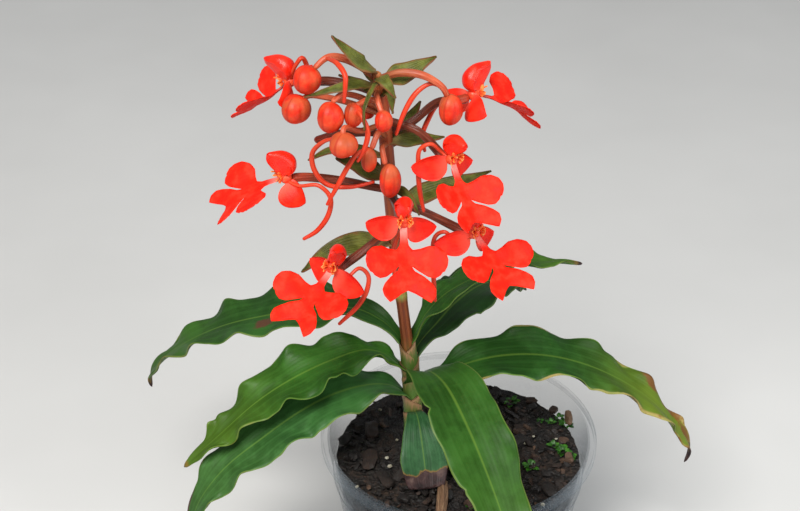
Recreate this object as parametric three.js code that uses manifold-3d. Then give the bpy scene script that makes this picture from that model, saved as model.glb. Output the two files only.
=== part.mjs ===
// A potted Habenaria roebelenii: a small ground orchid with vermilion flowers in a clear plastic pot.
// Millimetres, +Z up. The origin is the centre of the pot's base, and the plant's front faces -Y.

import * as THREE from 'three';
import { mergeVertices } from 'three/addons/utils/BufferGeometryUtils.js';
import Module from 'manifold-3d';

const library = await Module();
library.setup();

// The pot: a round, thin-walled, clear plastic pot with a rolled rim.
const potHeight = 88;
const rimRadius = 52;
const rimDepth = 3.6;
const mouthRadius = 49.4;
const footRadius = 36;
const potWall = 1.2;
const potFloor = 1.6;
const rimRound = 0.9;
const potSides = 32;
const drainHoleRadius = 3.5;
const drainHoleCircle = 23;
const drainHoleCount = 6;

// The potting mix fills the pot to a little below its rim and lies in low lumps.
const mixLevel = 76;
const mixRings = 6;
const lumpHeight = 1.1;

// What touches keeps this gap, so that each piece is a solid of its own.
const clearance = 0.3;

// The stem stands off the pot's centre and leans to the left as it rises.
const stemFootDepth = 24;
const stemRoute = [
  [-17, 4, mixLevel - stemFootDepth],
  [-17, 4, mixLevel],
  [-17.6, 4, 106],
  [-19.6, 3.4, 128],
  [-23.6, 2, 167],
  [-26, 1.2, 200],
  [-27.6, 0.8, 222],
  [-29.8, 0, 238],
];
const stemRadii = [
  [0, 3.1], [0.28, 3.2], [0.37, 3.3], [0.44, 2.3], [0.5, 2.1], [0.8, 2.3], [0.93, 2.0], [1, 1.3],
];
const stemSides = 8;
const stemSteps = 18;

// Leaves are broad green blades with waved edges, from a loose whorl near the foot of the stem.
// azimuth: degrees from +X towards +Y. spine: distance from the stem and height along the midrib.
// bank: degrees by which the blade leans round its midrib. fold: how far its halves rise from the midrib.
// peak: where it is widest. tip: the share of the width that is left at the tip.
// At its root a blade has only a share of its width, and its edges rise there to clasp the stem.
const leafThickness = 0.8;
const leafAcross = 4;
const leafRootShare = 0.26;
const leafRootClasp = 0.12;
const rippleSkew = 1.9;
const leaves = [
  {
    azimuth: 156, steps: 26, halfWidth: 11.5, peak: 0.36, tip: 0.05,
    bank: -16, fold: 12, waves: 6, waveHeight: 1.8,
    spine: [[1.6, 127], [4.8, 130.5], [9.6, 133.7], [19, 136], [34, 132], [56, 123], [80, 110], [102, 92],
      [117, 73]],
  },
  {
    azimuth: 199, steps: 26, halfWidth: 11.8, peak: 0.42, tip: 0.05,
    bank: -10, fold: 10, waves: 5.6, waveHeight: 2.2,
    spine: [[1.6, 114.5], [5, 118.6], [9.5, 123.5], [17, 126.8], [30, 125], [45, 120], [58, 113], [72, 102],
      [86, 91]],
  },
  {
    azimuth: 204, steps: 26, halfWidth: 12.5, peak: 0.34, tip: 0.2,
    bank: -12, fold: 8, waves: 5.6, waveHeight: 1.8,
    spine: [[1.6, 101], [5, 105.5], [10, 109.5], [18, 112], [31, 112], [45, 108], [59, 101], [74, 92],
      [84, 81], [89, 70]],
  },
  {
    azimuth: 294.5, steps: 24, halfWidth: 13.4, peak: 0.36, tip: 0.05,
    bank: -4, fold: 12, waves: 4, waveHeight: 1.2,
    spine: [[1.6, 108.5], [5, 113], [10, 119], [18, 124.5], [30, 126.5], [46, 121], [62, 111.5], [77, 99.5],
      [89, 86], [97, 72]],
  },
  {
    azimuth: 4, steps: 26, halfWidth: 11.5, peak: 0.3, tip: 0.05,
    bank: 14, fold: 8, waves: 5.6, waveHeight: 2.0,
    spine: [[1.6, 100], [5, 104.5], [9.5, 109.5], [17, 114], [31, 118], [48, 117.8], [66, 112], [86, 99],
      [101, 83], [112, 65]],
  },
  {
    azimuth: 52, steps: 18, halfWidth: 11, peak: 0.42, tip: 0.05,
    bank: 10, fold: 10, waves: 5, waveHeight: 1.6,
    spine: [[1.6, 117.5], [5, 120.6], [10, 123.2], [17, 125], [28, 128], [44, 128], [62, 121], [78, 109]],
  },
  {
    azimuth: 25, steps: 18, halfWidth: 8, peak: 0.36, tip: 0.05,
    bank: -8, fold: 12, waves: 4, waveHeight: 1.6,
    spine: [[1.4, 125], [4.6, 130], [9, 137], [16, 143], [28, 147], [42, 149], [58, 146], [74, 141]],
  },
  {
    azimuth: 281, steps: 10, halfWidth: 8.6, peak: 0.7, tip: 0.75,
    bank: 0, fold: 4, waves: 2, waveHeight: 0.5,
    spine: [[1.6, 94.5], [5, 97.4], [8.5, 98.8], [14, 97], [20, 91], [25, 85], [29, 80.5]],
  },
];

// Open flowers. at: the throat. facing, tilt, roll: degrees, the way the flower looks and how it is turned.
// lipStart, lipEnd: how far below the facing the lip points at its root and at its tip.
// cup: how far the lip's side lobes lift forward. sweep: how far the side sepals are swept back.
const flowers = [
  {
    at: [-59, 9, 230], facing: -117, tilt: -15, roll: 7, lipStart: 33, lipEnd: 38, cup: 50, sweep: 12,
    stalk: [[-29, 2, 228.5], [-36, 7, 229], [-46, 9, 230]],
    spur: [[-57, 6, 236.5], [-54.5, 6, 240], [-53, 8, 236], [-53, 10, 229], [-53, 11, 223.5]],
  },
  {
    at: [2.5, 8, 225.5], facing: 117, tilt: 0, roll: 8, lipStart: 10, lipEnd: 75, cup: 50, sweep: 28,
    stalk: [[-26, 3, 214], [-18.5, 6, 216], [-9.5, 8, 222.5]],
    spur: [[-4.5, 11, 222], [-9, 12, 220], [-12.5, 11, 214.5], [-14.5, 9, 209], [-13.5, 8, 203.5]],
  },
  {
    at: [-60.5, -6, 201.5], facing: -72, tilt: 1, roll: 5, lipStart: 5, lipEnd: 46, cup: 8, sweep: 10,
    stalk: [[-26, 2, 192], [-42.5, -2, 198]],
    spur: [[-56, -9, 200], [-49.5, -10.5, 201], [-45.5, -12, 197.5], [-46, -13, 191.5], [-50, -14, 185.5],
      [-55, -15, 182.5]],
  },
  {
    at: [-5, -12, 212], facing: 32, tilt: 4, roll: 8, lipStart: 49, lipEnd: 32, cup: 26, sweep: 18,
    stalk: [[-26.5, 1, 219.5], [-16, -4, 218]],
    spur: [[-8.5, -10, 213.5], [-12, -11, 217], [-15.5, -11, 215], [-16, -11, 208], [-15.5, -11, 199.5],
      [-14, -12, 191.5]],
  },
  {
    at: [-21, -25, 195.5], facing: 11, tilt: 9, roll: 7, lipStart: 57, lipEnd: 38, cup: 18, sweep: 10,
    stalk: [[-25, 1, 190], [-23, -11, 193]],
    spur: [[-22.5, -18, 186.5], [-24, -15, 180], [-24.5, -15, 173.5], [-23.5, -17, 169], [-22.5, -19, 166]],
  },
  {
    at: [3, -14, 184.5], facing: 35, tilt: 13, roll: 3, lipStart: 39, lipEnd: 41, cup: 16, sweep: 16,
    stalk: [[-24.5, 1, 188.5], [-14, -5, 187.5]],
    spur: [[-2.4, -13, 180.6], [-7, -11.5, 183.4], [-10, -10.5, 181], [-11, -12, 174.5], [-10.5, -15, 166],
      [-10, -18, 159]],
  },
  {
    at: [-45, -20, 174], facing: -28, tilt: 18, roll: 5, lipStart: 36, lipEnd: 41, cup: 14, sweep: 24,
    stalk: [[-26, 1, 177.5], [-31.5, -8, 176.5]],
    spur: [[-40.5, -18.5, 169.4], [-36, -16, 171.6], [-33, -15, 168], [-33.5, -16, 162.5], [-36.5, -17, 157],
      [-43.5, -18, 149.5]],
  },
];
const petalThickness = 0.65;
const throatRadius = 2.1;
const columnRadius = 1.5;
const stalkRadius = 1.5;
const spurRadius = 0.75;

// A side sepal starts a little way from the middle. It is fuller below its middle line than above it.
const sepalLength = 11;
const sepalRoot = 1.3;
const sepalRise = 1.5;
const sepalDrop = 5.9;
const sepalHollow = 1.2;

// The hood is the back sepal and the petals together, a deep spoon that arches over the throat.
const hoodRoute = [[0, -0.6, 1.1], [0, -3.2, 3.7], [0, -3.2, 7], [0, -0.2, 9.1], [0, 4.6, 8.4]];
const hoodHalfWidth = 3.6;
const hoodDepth = 2.4;
const hoodWrap = 77;

// Half of the lip's outline: distance from its middle line and distance from the throat along it.
// The lip has a narrow claw, a round lobe at each side and a forked lobe between them.
const lipLength = 29;
const lipHalfOutline = [
  [1.3, 0], [1.4, 4], [1.5, 6.6], [2.6, 8.2], [5.2, 8.1], [8.8, 7.9], [11.8, 9.2], [13.4, 11.4],
  [13.7, 13.8], [12.8, 16.2], [11, 18.3], [9.4, 19.4], [6.6, 18], [4, 16.4], [2.3, 15.4], [3, 16.7],
  [6.2, 18.6], [9.4, 20.6], [10.6, 23.4], [9.8, 26.6], [7.6, 28.9], [5.2, 27.2], [2.6, 24.9], [0, 23.6],
];
const lipInnerPoints = [
  [0, 3.4], [0, 9.1], [0, 12.3], [0, 17.1], [0, 20.2], [3.6, 11.8], [6.8, 13.2], [10.1, 12.9], [8.1, 16.1],
  [6.9, 10.4], [3.8, 20.1], [7.1, 23.1],
];

// A trace of skew keeps the mirrored points off one level, so that the outline splits cleanly.
const lipSkew = 0.01;

// Buds hang on arched stalks. size: width and height. A bud with a spur has it curling from its neck.
const buds = [
  {
    at: [-52.5, -4, 237], size: [9.4, 9.6],
    stalk: [[-29.6, 0.6, 234.4], [-34.5, 1, 239], [-40, 0, 242.5], [-45.5, -2, 244], [-50, -4, 241]],
    spur: [[-46, -2.5, 244], [-42, -11, 246], [-39.5, -15.5, 244], [-39.5, -17, 240.5], [-40, -17, 235]],
  },
  {
    at: [-56.7, -5.6, 227.4], size: [9, 9.4],
    stalk: [[-28.5, 0.5, 222], [-38, -0.5, 226.5], [-47, -3, 230.2], [-52, -4.6, 231.4], [-55, -5.4, 229.6]],
  },
  {
    at: [-44.5, -14, 229.5], size: [8.4, 9.4],
    stalk: [[-29, 0, 224.5], [-35, -4, 230.5], [-41, -10, 234.5], [-44, -13.5, 233.5]],
  },
  {
    at: [-37.5, -12, 228.5], size: [5.2, 7],
    stalk: [[-29.3, -1, 227.5], [-33, -8, 231.5], [-36.5, -12, 231.5]],
    spur: [[-36.5, -12.5, 231], [-34, -16, 229], [-32.5, -17, 224.5], [-33.5, -17, 219], [-36, -17, 213.5]],
  },
  {
    at: [-40.5, -19, 221], size: [9.4, 8.4],
    stalk: [[-28, -1, 219], [-34.8, -8.5, 220.6], [-40.2, -17.2, 226], [-40.6, -18.8, 224]],
    spur: [[-42.5, -18, 223], [-47, -14, 219.5], [-51, -11, 213.5], [-50.5, -10, 206.5], [-46.5, -9, 200.5],
      [-39, -9, 199.5], [-30.5, -8, 201]],
  },
  {
    at: [-27.5, -13, 226.5], size: [6, 7.6],
    stalk: [[-29.4, -1, 231], [-29.5, -9, 232.5], [-28, -13, 229.5]],
  },
  {
    at: [-32.5, -10, 210.5], size: [5.4, 8.8],
    stalk: [[-27.2, -0.5, 214.2], [-29.2, -6, 218.6], [-31.5, -10, 214.5]],
    spur: [[-31.8, -10, 214], [-35.5, -12, 214.5], [-39, -14, 210.5], [-42.5, -15, 204], [-46.5, -16, 196.5]],
  },
  {
    at: [-25.5, -10, 202.5], size: [7.4, 12.4],
    stalk: [[-26.6, 0, 211], [-28, -5.5, 212.5], [-27, -9, 208]],
  },
  {
    at: [-5.5, -3, 225.5], size: [8.2, 11],
    stalk: [[-29.4, 0.5, 235], [-22, -1, 238], [-14.5, -3, 238], [-8.5, -4, 234.5], [-6.5, -3, 230.5]],
    spur: [[-8.5, -3.5, 234], [-12, -2, 234.5], [-16.5, -3, 232], [-20.5, -5, 226], [-23.5, -8, 218.5]],
  },
  {
    at: [-33, 5, 221.5], size: [5.4, 7],
    stalk: [[-28.2, 2, 220.5], [-31, 5, 225.3], [-32.7, 5, 224.5]],
  },
];
const budStalkRadius = 0.9;
const budSpurRadius = 0.65;

// Bracts are small pointed leaves, one below each flower stalk, and their upper sides face up and forward.
const bractThickness = 0.7;
const bractFace = [0, -0.55, 0.83];
const bractFold = 0.35;
const bractShape = { peak: 0.34, tip: 0.06, rootShare: 0.3 };
const bracts = [
  { halfWidth: 3.0, route: [[-29.9, 0, 237.8], [-34.5, -6, 243.4], [-39, -7, 248.5], [-44, -6, 253.5]] },
  { halfWidth: 4.2, route: [[-28.8, 1, 233.2], [-19.5, 5, 235], [-10, 6, 240.5]] },
  { halfWidth: 2.3, route: [[-29.6, 0, 232.8], [-35, -5, 235.5], [-40.5, -11, 237.6], [-53, -12, 234.5]] },
  { halfWidth: 2.5, route: [[-29.4, 0, 235.8], [-26.5, -7, 237], [-23.5, -9, 232.6]] },
  { halfWidth: 1.8, route: [[-29.2, 1, 231.9], [-34.6, 8.4, 236], [-39, 10, 238.7]] },
  { halfWidth: 1.8, route: [[-29.2, 0, 229.6], [-36.5, 3.4, 232.5], [-42.5, 5, 234.3]] },
  { halfWidth: 0.9, route: [[-28.8, -0.5, 233.6], [-30.5, -9, 237], [-33.5, -17, 233], [-33.5, -19, 226]] },
  { halfWidth: 4.0, route: [[-26.8, 1, 208.5], [-20, 11, 212], [-15, 14, 220]] },
  { halfWidth: 1.8, route: [[-28.8, 0, 229], [-25.5, -4, 232], [-24.5, -6, 225.5]] },
  { halfWidth: 3.0, route: [[-26.5, 0, 211.5], [-18.5, 1, 212], [-12, 3, 211.5], [-7, 5, 211]] },
  { halfWidth: 2.5, route: [[-26.5, 1, 205.5], [-39, 0, 208.5], [-45.5, -3, 210], [-53, -5, 207.5]] },
  { halfWidth: 4.0, route: [[-26, 1, 197], [-35, 3, 200], [-44, 2, 204.5]] },
  { halfWidth: 4.5, route: [[-25, 1, 171], [-35.5, -1, 172], [-46.5, -4, 170.5], [-56.5, -6, 163.5]] },
  { halfWidth: 1.8, route: [[-25.5, 0, 195.5], [-19, -6, 193.5], [-15.5, -10, 189]] },
  { halfWidth: 4.0, route: [[-25, 1, 183], [-13.5, 11, 185], [-1, 18, 186], [10.5, 24, 187]] },
];

// The ovary of a flower that has dropped still stands out behind the buds.
const spentOvary = [[-27, 1, 214.5], [-39, 8, 211], [-51.5, 10, 207]];
const ovaryEndRadius = 1.1;
const ovarySwelling = 0.5;

// Colours and finishes.
const finish = (color, roughness) => new THREE.MeshStandardMaterial({ color, roughness, metalness: 0 });
const clearPlastic = finish(0xb9c4cc, 0.12);
clearPlastic.transparent = true;
clearPlastic.opacity = 0.4;
const darkMix = finish(0x2a1c13, 0.95);
const stemSkin = finish(0x7d4326, 0.5);
const leafSkin = finish(0x2f6a1c, 0.5);
const bractSkin = finish(0x56752a, 0.5);
const petalSkin = finish(0xe8260f, 0.45);
const budSkin = finish(0xd9432a, 0.45);
const stalkSkin = finish(0x6e2c18, 0.5);

const point = (place) => new THREE.Vector3(...place);
const curveThrough = (places) => new THREE.CatmullRomCurve3(places.map(point), false, 'centripetal');
const radians = THREE.MathUtils.degToRad;
const unit = (value) => THREE.MathUtils.clamp(value, 0, 1);

// Straight lines between [position, value] pairs.
function between(pairs, position) {
  for (let i = 1; i < pairs.length; i += 1) {
    const [x0, y0] = pairs[i - 1];
    const [x1, y1] = pairs[i];
    if (position <= x1) {
      return y0 + ((y1 - y0) * (position - x0)) / (x1 - x0);
    }
  }
  return pairs[pairs.length - 1][1];
}

function toSolid(geometry) {
  const bare = geometry.clone();
  bare.deleteAttribute('normal');
  bare.deleteAttribute('uv');
  const merged = mergeVertices(bare, 1e-4);
  return new library.Manifold(new library.Mesh({
    numProp: 3,
    vertProperties: new Float32Array(merged.attributes.position.array),
    triVerts: new Uint32Array(merged.index.array),
  }));
}

function toGeometry(solid) {
  const mesh = solid.getMesh();
  const geometry = new THREE.BufferGeometry();
  geometry.setAttribute('position', new THREE.BufferAttribute(new Float32Array(mesh.vertProperties), 3));
  geometry.setIndex(new THREE.BufferAttribute(new Uint32Array(mesh.triVerts), 1));
  geometry.computeVertexNormals();
  return geometry;
}

function join(geometries) {
  return geometries.map(toSolid).reduce((whole, piece) => whole.add(piece));
}

// The largest of the bodies that a cut leaves.
function mainBody(solid) {
  return solid.decompose().reduce((best, body) => (body.volume() > best.volume() ? body : best));
}

function indexedGeometry(points, triangles) {
  const geometry = new THREE.BufferGeometry();
  const numbers = points.flatMap((place) => place.toArray());
  geometry.setAttribute('position', new THREE.Float32BufferAttribute(numbers, 3));
  geometry.setIndex(triangles.flat());
  return geometry;
}

// A thin sheet given by middle(u, v) is thickened equally to both sides along its normal.
function offsetBoth(middle, u, v, thickness) {
  const step = 1e-3;
  const centre = middle(u, v);
  const along = middle(u + step, v).sub(middle(u - step, v));
  const across = middle(u, v + step).sub(middle(u, v - step));
  const normal = along.cross(across).setLength(thickness / 2);
  return [centre.clone().add(normal), centre.clone().sub(normal)];
}

// A closed blade. u runs from root to tip and v from -1 to 1 across, and both faces are split alike.
function bladeGeometry(middle, steps, across, thickness) {
  const points = [];
  for (let i = 0; i <= steps; i += 1) {
    for (let j = 0; j <= across; j += 1) {
      points.push(...offsetBoth(middle, i / steps, (2 * j) / across - 1, thickness));
    }
  }
  const upper = (i, j) => 2 * (i * (across + 1) + j);
  const lower = (i, j) => upper(i, j) + 1;
  const triangles = [];
  const quad = (a, b, c, d) => triangles.push([a, b, c], [a, c, d]);
  for (let i = 0; i < steps; i += 1) {
    for (let j = 0; j < across; j += 1) {
      quad(upper(i, j), upper(i + 1, j), upper(i + 1, j + 1), upper(i, j + 1));
      triangles.push([lower(i, j), lower(i + 1, j + 1), lower(i + 1, j)]);
      triangles.push([lower(i, j), lower(i, j + 1), lower(i + 1, j + 1)]);
    }
    quad(upper(i, across), upper(i + 1, across), lower(i + 1, across), lower(i, across));
    quad(upper(i, 0), lower(i, 0), lower(i + 1, 0), upper(i + 1, 0));
  }
  for (let j = 0; j < across; j += 1) {
    quad(upper(0, j), upper(0, j + 1), lower(0, j + 1), lower(0, j));
    quad(upper(steps, j), lower(steps, j), lower(steps, j + 1), upper(steps, j + 1));
  }
  return indexedGeometry(points, triangles);
}

// A closed round tube along a curve, with its own radius at each step.
function tubeGeometry(curve, radiusAt, steps, sides) {
  const frames = curve.computeFrenetFrames(steps, false);
  const points = [];
  for (let i = 0; i <= steps; i += 1) {
    const centre = curve.getPointAt(i / steps);
    const radius = radiusAt(i / steps);
    for (let j = 0; j < sides; j += 1) {
      const angle = (2 * Math.PI * j) / sides;
      const spoke = frames.normals[i].clone().multiplyScalar(Math.cos(angle) * radius);
      points.push(spoke.addScaledVector(frames.binormals[i], Math.sin(angle) * radius).add(centre));
    }
  }
  const ring = (i, j) => i * sides + (j % sides);
  const startCentre = points.push(curve.getPointAt(0)) - 1;
  const endCentre = points.push(curve.getPointAt(1)) - 1;
  const triangles = [];
  for (let j = 0; j < sides; j += 1) {
    for (let i = 0; i < steps; i += 1) {
      triangles.push([ring(i, j), ring(i, j + 1), ring(i + 1, j + 1)]);
      triangles.push([ring(i, j), ring(i + 1, j + 1), ring(i + 1, j)]);
    }
    triangles.push([startCentre, ring(0, j + 1), ring(0, j)]);
    triangles.push([endCentre, ring(steps, j), ring(steps, j + 1)]);
  }
  return indexedGeometry(points, triangles);
}

const wholePlant = new THREE.Group();

function addPiece(name, geometry, material, parent = wholePlant) {
  const mesh = new THREE.Mesh(geometry, material);
  mesh.name = name;
  parent.add(mesh);
  return mesh;
}

// The pot's inner wall, as a radius at a height.
function innerRadius(height) {
  const taper = (mouthRadius - footRadius) / (potHeight - rimDepth);
  return footRadius - potWall + taper * height;
}

function makePot() {
  const rimFoot = potHeight - rimDepth;
  const profile = [
    [0, 0],
    [footRadius - rimRound, 0],
    [footRadius, rimRound],
    [mouthRadius, rimFoot],
    [rimRadius - rimRound, rimFoot],
    [rimRadius, rimFoot + rimRound],
    [rimRadius, potHeight - rimRound],
    [rimRadius - rimRound, potHeight],
    [innerRadius(potHeight), potHeight],
    [innerRadius(potFloor), potFloor],
    [0, potFloor],
  ].map(([radius, height]) => new THREE.Vector2(radius, height));
  const shell = new THREE.LatheGeometry(profile, potSides).rotateX(Math.PI / 2);
  let solid = toSolid(shell);
  for (let k = 0; k < drainHoleCount; k += 1) {
    const angle = (2 * Math.PI * (k + 0.5)) / drainHoleCount;
    const hole = new THREE.CylinderGeometry(drainHoleRadius, drainHoleRadius, 3 * potFloor, 12);
    hole.rotateX(Math.PI / 2);
    hole.translate(drainHoleCircle * Math.cos(angle), drainHoleCircle * Math.sin(angle), potFloor / 2);
    solid = solid.subtract(toSolid(hole));
  }
  addPiece('pot', toGeometry(solid), clearPlastic);
}

// The lumps fade out towards the wall, so that the mix keeps its gap to the pot.
function mixLump(x, y) {
  const reach = innerRadius(mixLevel);
  const fade = 1 - (Math.hypot(x, y) / reach) ** 4;
  const coarse = Math.sin(0.31 * x + 1.1) * Math.cos(0.27 * y - 0.4);
  const fine = 0.6 * Math.sin(0.73 * x - 0.52 * y + 2);
  return lumpHeight * fade * (coarse + fine);
}

function makeMix(stemCurve) {
  const floor = potFloor + clearance;
  const profile = [new THREE.Vector2(0, floor), new THREE.Vector2(innerRadius(floor) - clearance, floor)];
  for (let ring = mixRings; ring >= 0; ring -= 1) {
    const reach = innerRadius(mixLevel) - clearance;
    profile.push(new THREE.Vector2((reach * ring) / mixRings, mixLevel));
  }
  const body = new THREE.LatheGeometry(profile, potSides).rotateX(Math.PI / 2);
  const places = body.attributes.position;
  for (let i = 0; i < places.count; i += 1) {
    if (places.getZ(i) > mixLevel - 1) {
      places.setZ(i, mixLevel + mixLump(places.getX(i), places.getY(i)));
    }
  }
  const foot = stemCurve.getPointAt(0);
  const holeRadius = stemRadii[0][1] + clearance + 0.1;
  const holeDepth = stemFootDepth + clearance;
  const hole = new THREE.CylinderGeometry(holeRadius, holeRadius, holeDepth + 10, 14).rotateX(Math.PI / 2);
  hole.translate(foot.x, foot.y, mixLevel - holeDepth + (holeDepth + 10) / 2);
  addPiece('potting_mix', toGeometry(toSolid(body).subtract(toSolid(hole))), darkMix);
}

// A blade's half width: it swells from its root to its peak and tapers to its tip.
function leafHalfWidth(u, halfWidth, peak, tip, rootShare) {
  const rise = unit(u / peak);
  const fall = unit((u - peak) / (1 - peak));
  const swell = rootShare + ((1 - rootShare) * (1 - Math.cos(rise * Math.PI))) / 2;
  return halfWidth * swell * (1 - (1 - tip) * fall ** 2.1);
}

function makeLeaf(leaf, index, stemSleeve, stemAt) {
  const bearing = radians(leaf.azimuth);
  const outward = new THREE.Vector3(Math.cos(bearing), Math.sin(bearing), 0);
  const side = new THREE.Vector3(-Math.sin(bearing), Math.cos(bearing), 0);
  const heart = stemAt(leaf.spine[0][1]).setZ(0);
  const spine = curveThrough(leaf.spine.map(([reach, height]) => {
    const place = heart.clone().addScaledVector(outward, reach);
    return [place.x, place.y, height];
  }));
  const middle = (u, v) => {
    const along = unit(u);
    const tangent = spine.getTangentAt(along);
    const normal = tangent.clone().cross(side).normalize();
    const lean = radians(leaf.bank) * unit(along / 0.25);
    const across = side.clone().multiplyScalar(Math.cos(lean)).addScaledVector(normal, Math.sin(lean));
    const up = normal.clone().multiplyScalar(Math.cos(lean)).addScaledVector(side, -Math.sin(lean));
    const halfWidth = leafHalfWidth(along, leaf.halfWidth, leaf.peak, leaf.tip, leafRootShare);
    const channel = Math.abs(v) * Math.tan(radians(leaf.fold));
    const clasp = v * v * leafRootClasp * unit(1 - along / 0.17);
    const ripple = Math.sin(2 * Math.PI * leaf.waves * along + rippleSkew * v) * leaf.waveHeight;
    const rippleShare = v * v * unit(along / 0.2) * unit((1 - along) / 0.17);
    const rise = halfWidth * (channel + clasp) + ripple * rippleShare;
    return spine.getPointAt(along)
      .addScaledVector(tangent, (u - along) * 100)
      .addScaledVector(across, v * halfWidth)
      .addScaledVector(up, rise);
  };
  const blade = toSolid(bladeGeometry(middle, leaf.steps, leafAcross, leafThickness));
  addPiece(`leaf_${index + 1}`, toGeometry(mainBody(blade.subtract(stemSleeve))), leafSkin);
}

function makeBract(bract, index, stemSleeve) {
  const spine = curveThrough(bract.route);
  const face = point(bractFace);
  const middle = (u, v) => {
    const along = unit(u);
    const tangent = spine.getTangentAt(along);
    const side = face.clone().cross(tangent).normalize();
    const up = tangent.clone().cross(side).normalize();
    const { peak, tip, rootShare } = bractShape;
    const halfWidth = leafHalfWidth(along, bract.halfWidth, peak, tip, rootShare);
    return spine.getPointAt(along)
      .addScaledVector(tangent, (u - along) * 100)
      .addScaledVector(side, v * halfWidth)
      .addScaledVector(up, bractFold * Math.abs(v) * halfWidth);
  };
  const blade = toSolid(bladeGeometry(middle, 5, 2, bractThickness));
  const name = `bract_${String(index + 1).padStart(2, '0')}`;
  addPiece(name, toGeometry(mainBody(blade.subtract(stemSleeve))), bractSkin);
}

// A flower's own frame: X to the left of someone facing it, Y out of the flower and Z up.
function flowerTurn(flower) {
  const facing = radians(flower.facing);
  const tilt = radians(flower.tilt);
  const roll = radians(flower.roll);
  const out = new THREE.Vector3(Math.sin(facing), -Math.cos(facing), Math.tan(tilt)).normalize();
  const level = new THREE.Vector3(Math.cos(facing), Math.sin(facing), 0);
  const upright = level.clone().cross(out).negate();
  const right = level.clone().multiplyScalar(Math.cos(roll)).addScaledVector(upright, -Math.sin(roll));
  const up = upright.clone().multiplyScalar(Math.cos(roll)).addScaledVector(level, Math.sin(roll));
  return new THREE.Matrix4().makeBasis(right.negate(), out, up);
}

// A place on the lip, from its distance across and along, in the flower's frame.
function lipPlace(flower, across, along) {
  const start = radians(flower.lipStart);
  const bend = (radians(flower.lipEnd) - start) / lipLength;
  const angle = start + bend * along;
  const out = (Math.sin(angle) - Math.sin(start)) / bend;
  const up = (Math.cos(angle) - Math.cos(start)) / bend;
  const slope = Math.tan(radians(flower.cup));
  const lift = (slope * across * across) / (Math.abs(across) + 4);
  const shorten = 1 / Math.hypot(1, slope);
  return new THREE.Vector3(
    across * shorten,
    out + lift * shorten * Math.sin(angle),
    up + lift * shorten * Math.cos(angle),
  );
}

// Swaps the diagonals of a flat set of triangles until none is needlessly long.
function evenTriangles(flat, triangles) {
  const faces = triangles.map((face) => [...face]);
  const corner = (a, b, c) => {
    const one = flat[a].clone().sub(flat[c]);
    const two = flat[b].clone().sub(flat[c]);
    return Math.atan2(Math.abs(one.cross(two)), one.dot(two));
  };
  const swapOnce = () => {
    const owner = new Map();
    for (const [index, face] of faces.entries()) {
      for (let k = 0; k < 3; k += 1) {
        owner.set(`${face[k]},${face[(k + 1) % 3]}`, { index, apex: face[(k + 2) % 3] });
      }
    }
    for (const [edge, one] of owner) {
      const [a, b] = edge.split(',').map(Number);
      const two = owner.get(`${b},${a}`);
      if (two && corner(a, b, one.apex) + corner(a, b, two.apex) > Math.PI + 1e-3) {
        faces[one.index] = [one.apex, a, two.apex];
        faces[two.index] = [two.apex, b, one.apex];
        return true;
      }
    }
    return false;
  };
  let swapped = true;
  while (swapped) {
    swapped = swapOnce();
  }
  return faces;
}

function lipGeometry(flower) {
  const mirrored = lipHalfOutline.slice(0, -1).map(([across, along]) => [-across, along]).reverse();
  const spot = ([across, along]) => new THREE.Vector2(across, along + lipSkew * across);
  const outline = [...lipHalfOutline, ...mirrored].map(spot);
  const bothSides = ([across, along]) => (across === 0 ? [[0, along]] : [[across, along], [-across, along]]);
  const holes = lipInnerPoints.flatMap(bothSides).map((place) => [spot(place)]);
  const flat = [...outline, ...holes.flat()];
  const faces = evenTriangles(flat, THREE.ShapeUtils.triangulateShape(outline, holes));
  const surface = (along, across) => lipPlace(flower, across, along);
  const points = flat.flatMap((flatPoint) => offsetBoth(surface, flatPoint.y, flatPoint.x, petalThickness));
  const triangles = [];
  for (const [a, b, c] of faces) {
    triangles.push([2 * a, 2 * c, 2 * b], [2 * a + 1, 2 * b + 1, 2 * c + 1]);
  }
  for (let i = 0; i < outline.length; i += 1) {
    const next = (i + 1) % outline.length;
    triangles.push([2 * i, 2 * next, 2 * next + 1], [2 * i, 2 * next + 1, 2 * i + 1]);
  }
  return indexedGeometry(points, triangles);
}

// The side sepal on one hand of the flower, 1 or -1. v runs from its lower edge to its upper one.
function sepalPlace(flower, hand, u, v) {
  const along = unit(u);
  const swell = Math.sin(Math.PI * along ** 0.82);
  const edge = 0.25 + 0.9 * (1 - along);
  const height = v > 0 ? v * (edge + sepalRise * swell) : v * (edge + sepalDrop * swell);
  const sweep = radians(flower.sweep);
  const reach = sepalRoot + sepalLength * u;
  const hollow = sepalHollow * Math.sin(Math.PI * along) * (1 - v * v);
  return new THREE.Vector3(
    hand * reach * Math.cos(sweep),
    -0.4 - reach * Math.sin(sweep) - hollow,
    height - 0.6 * along,
  );
}

const hoodCurve = curveThrough(hoodRoute);

function hoodPlace(u, v) {
  const along = unit(u);
  const tangent = hoodCurve.getTangentAt(along);
  const inward = new THREE.Vector3(1, 0, 0).cross(tangent).normalize();
  const swell = Math.sin(Math.PI * (0.12 + 0.84 * along)) ** 0.8;
  const turn = radians(hoodWrap) * v;
  const depth = (1 + hoodDepth * Math.sin(Math.PI * along)) * (1 - Math.cos(turn));
  return hoodCurve.getPointAt(along)
    .addScaledVector(tangent, (u - along) * 10)
    .addScaledVector(inward, -depth)
    .add(new THREE.Vector3((0.5 + (hoodHalfWidth - 0.5) * swell) * Math.sin(turn), 0, 0));
}

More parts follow.
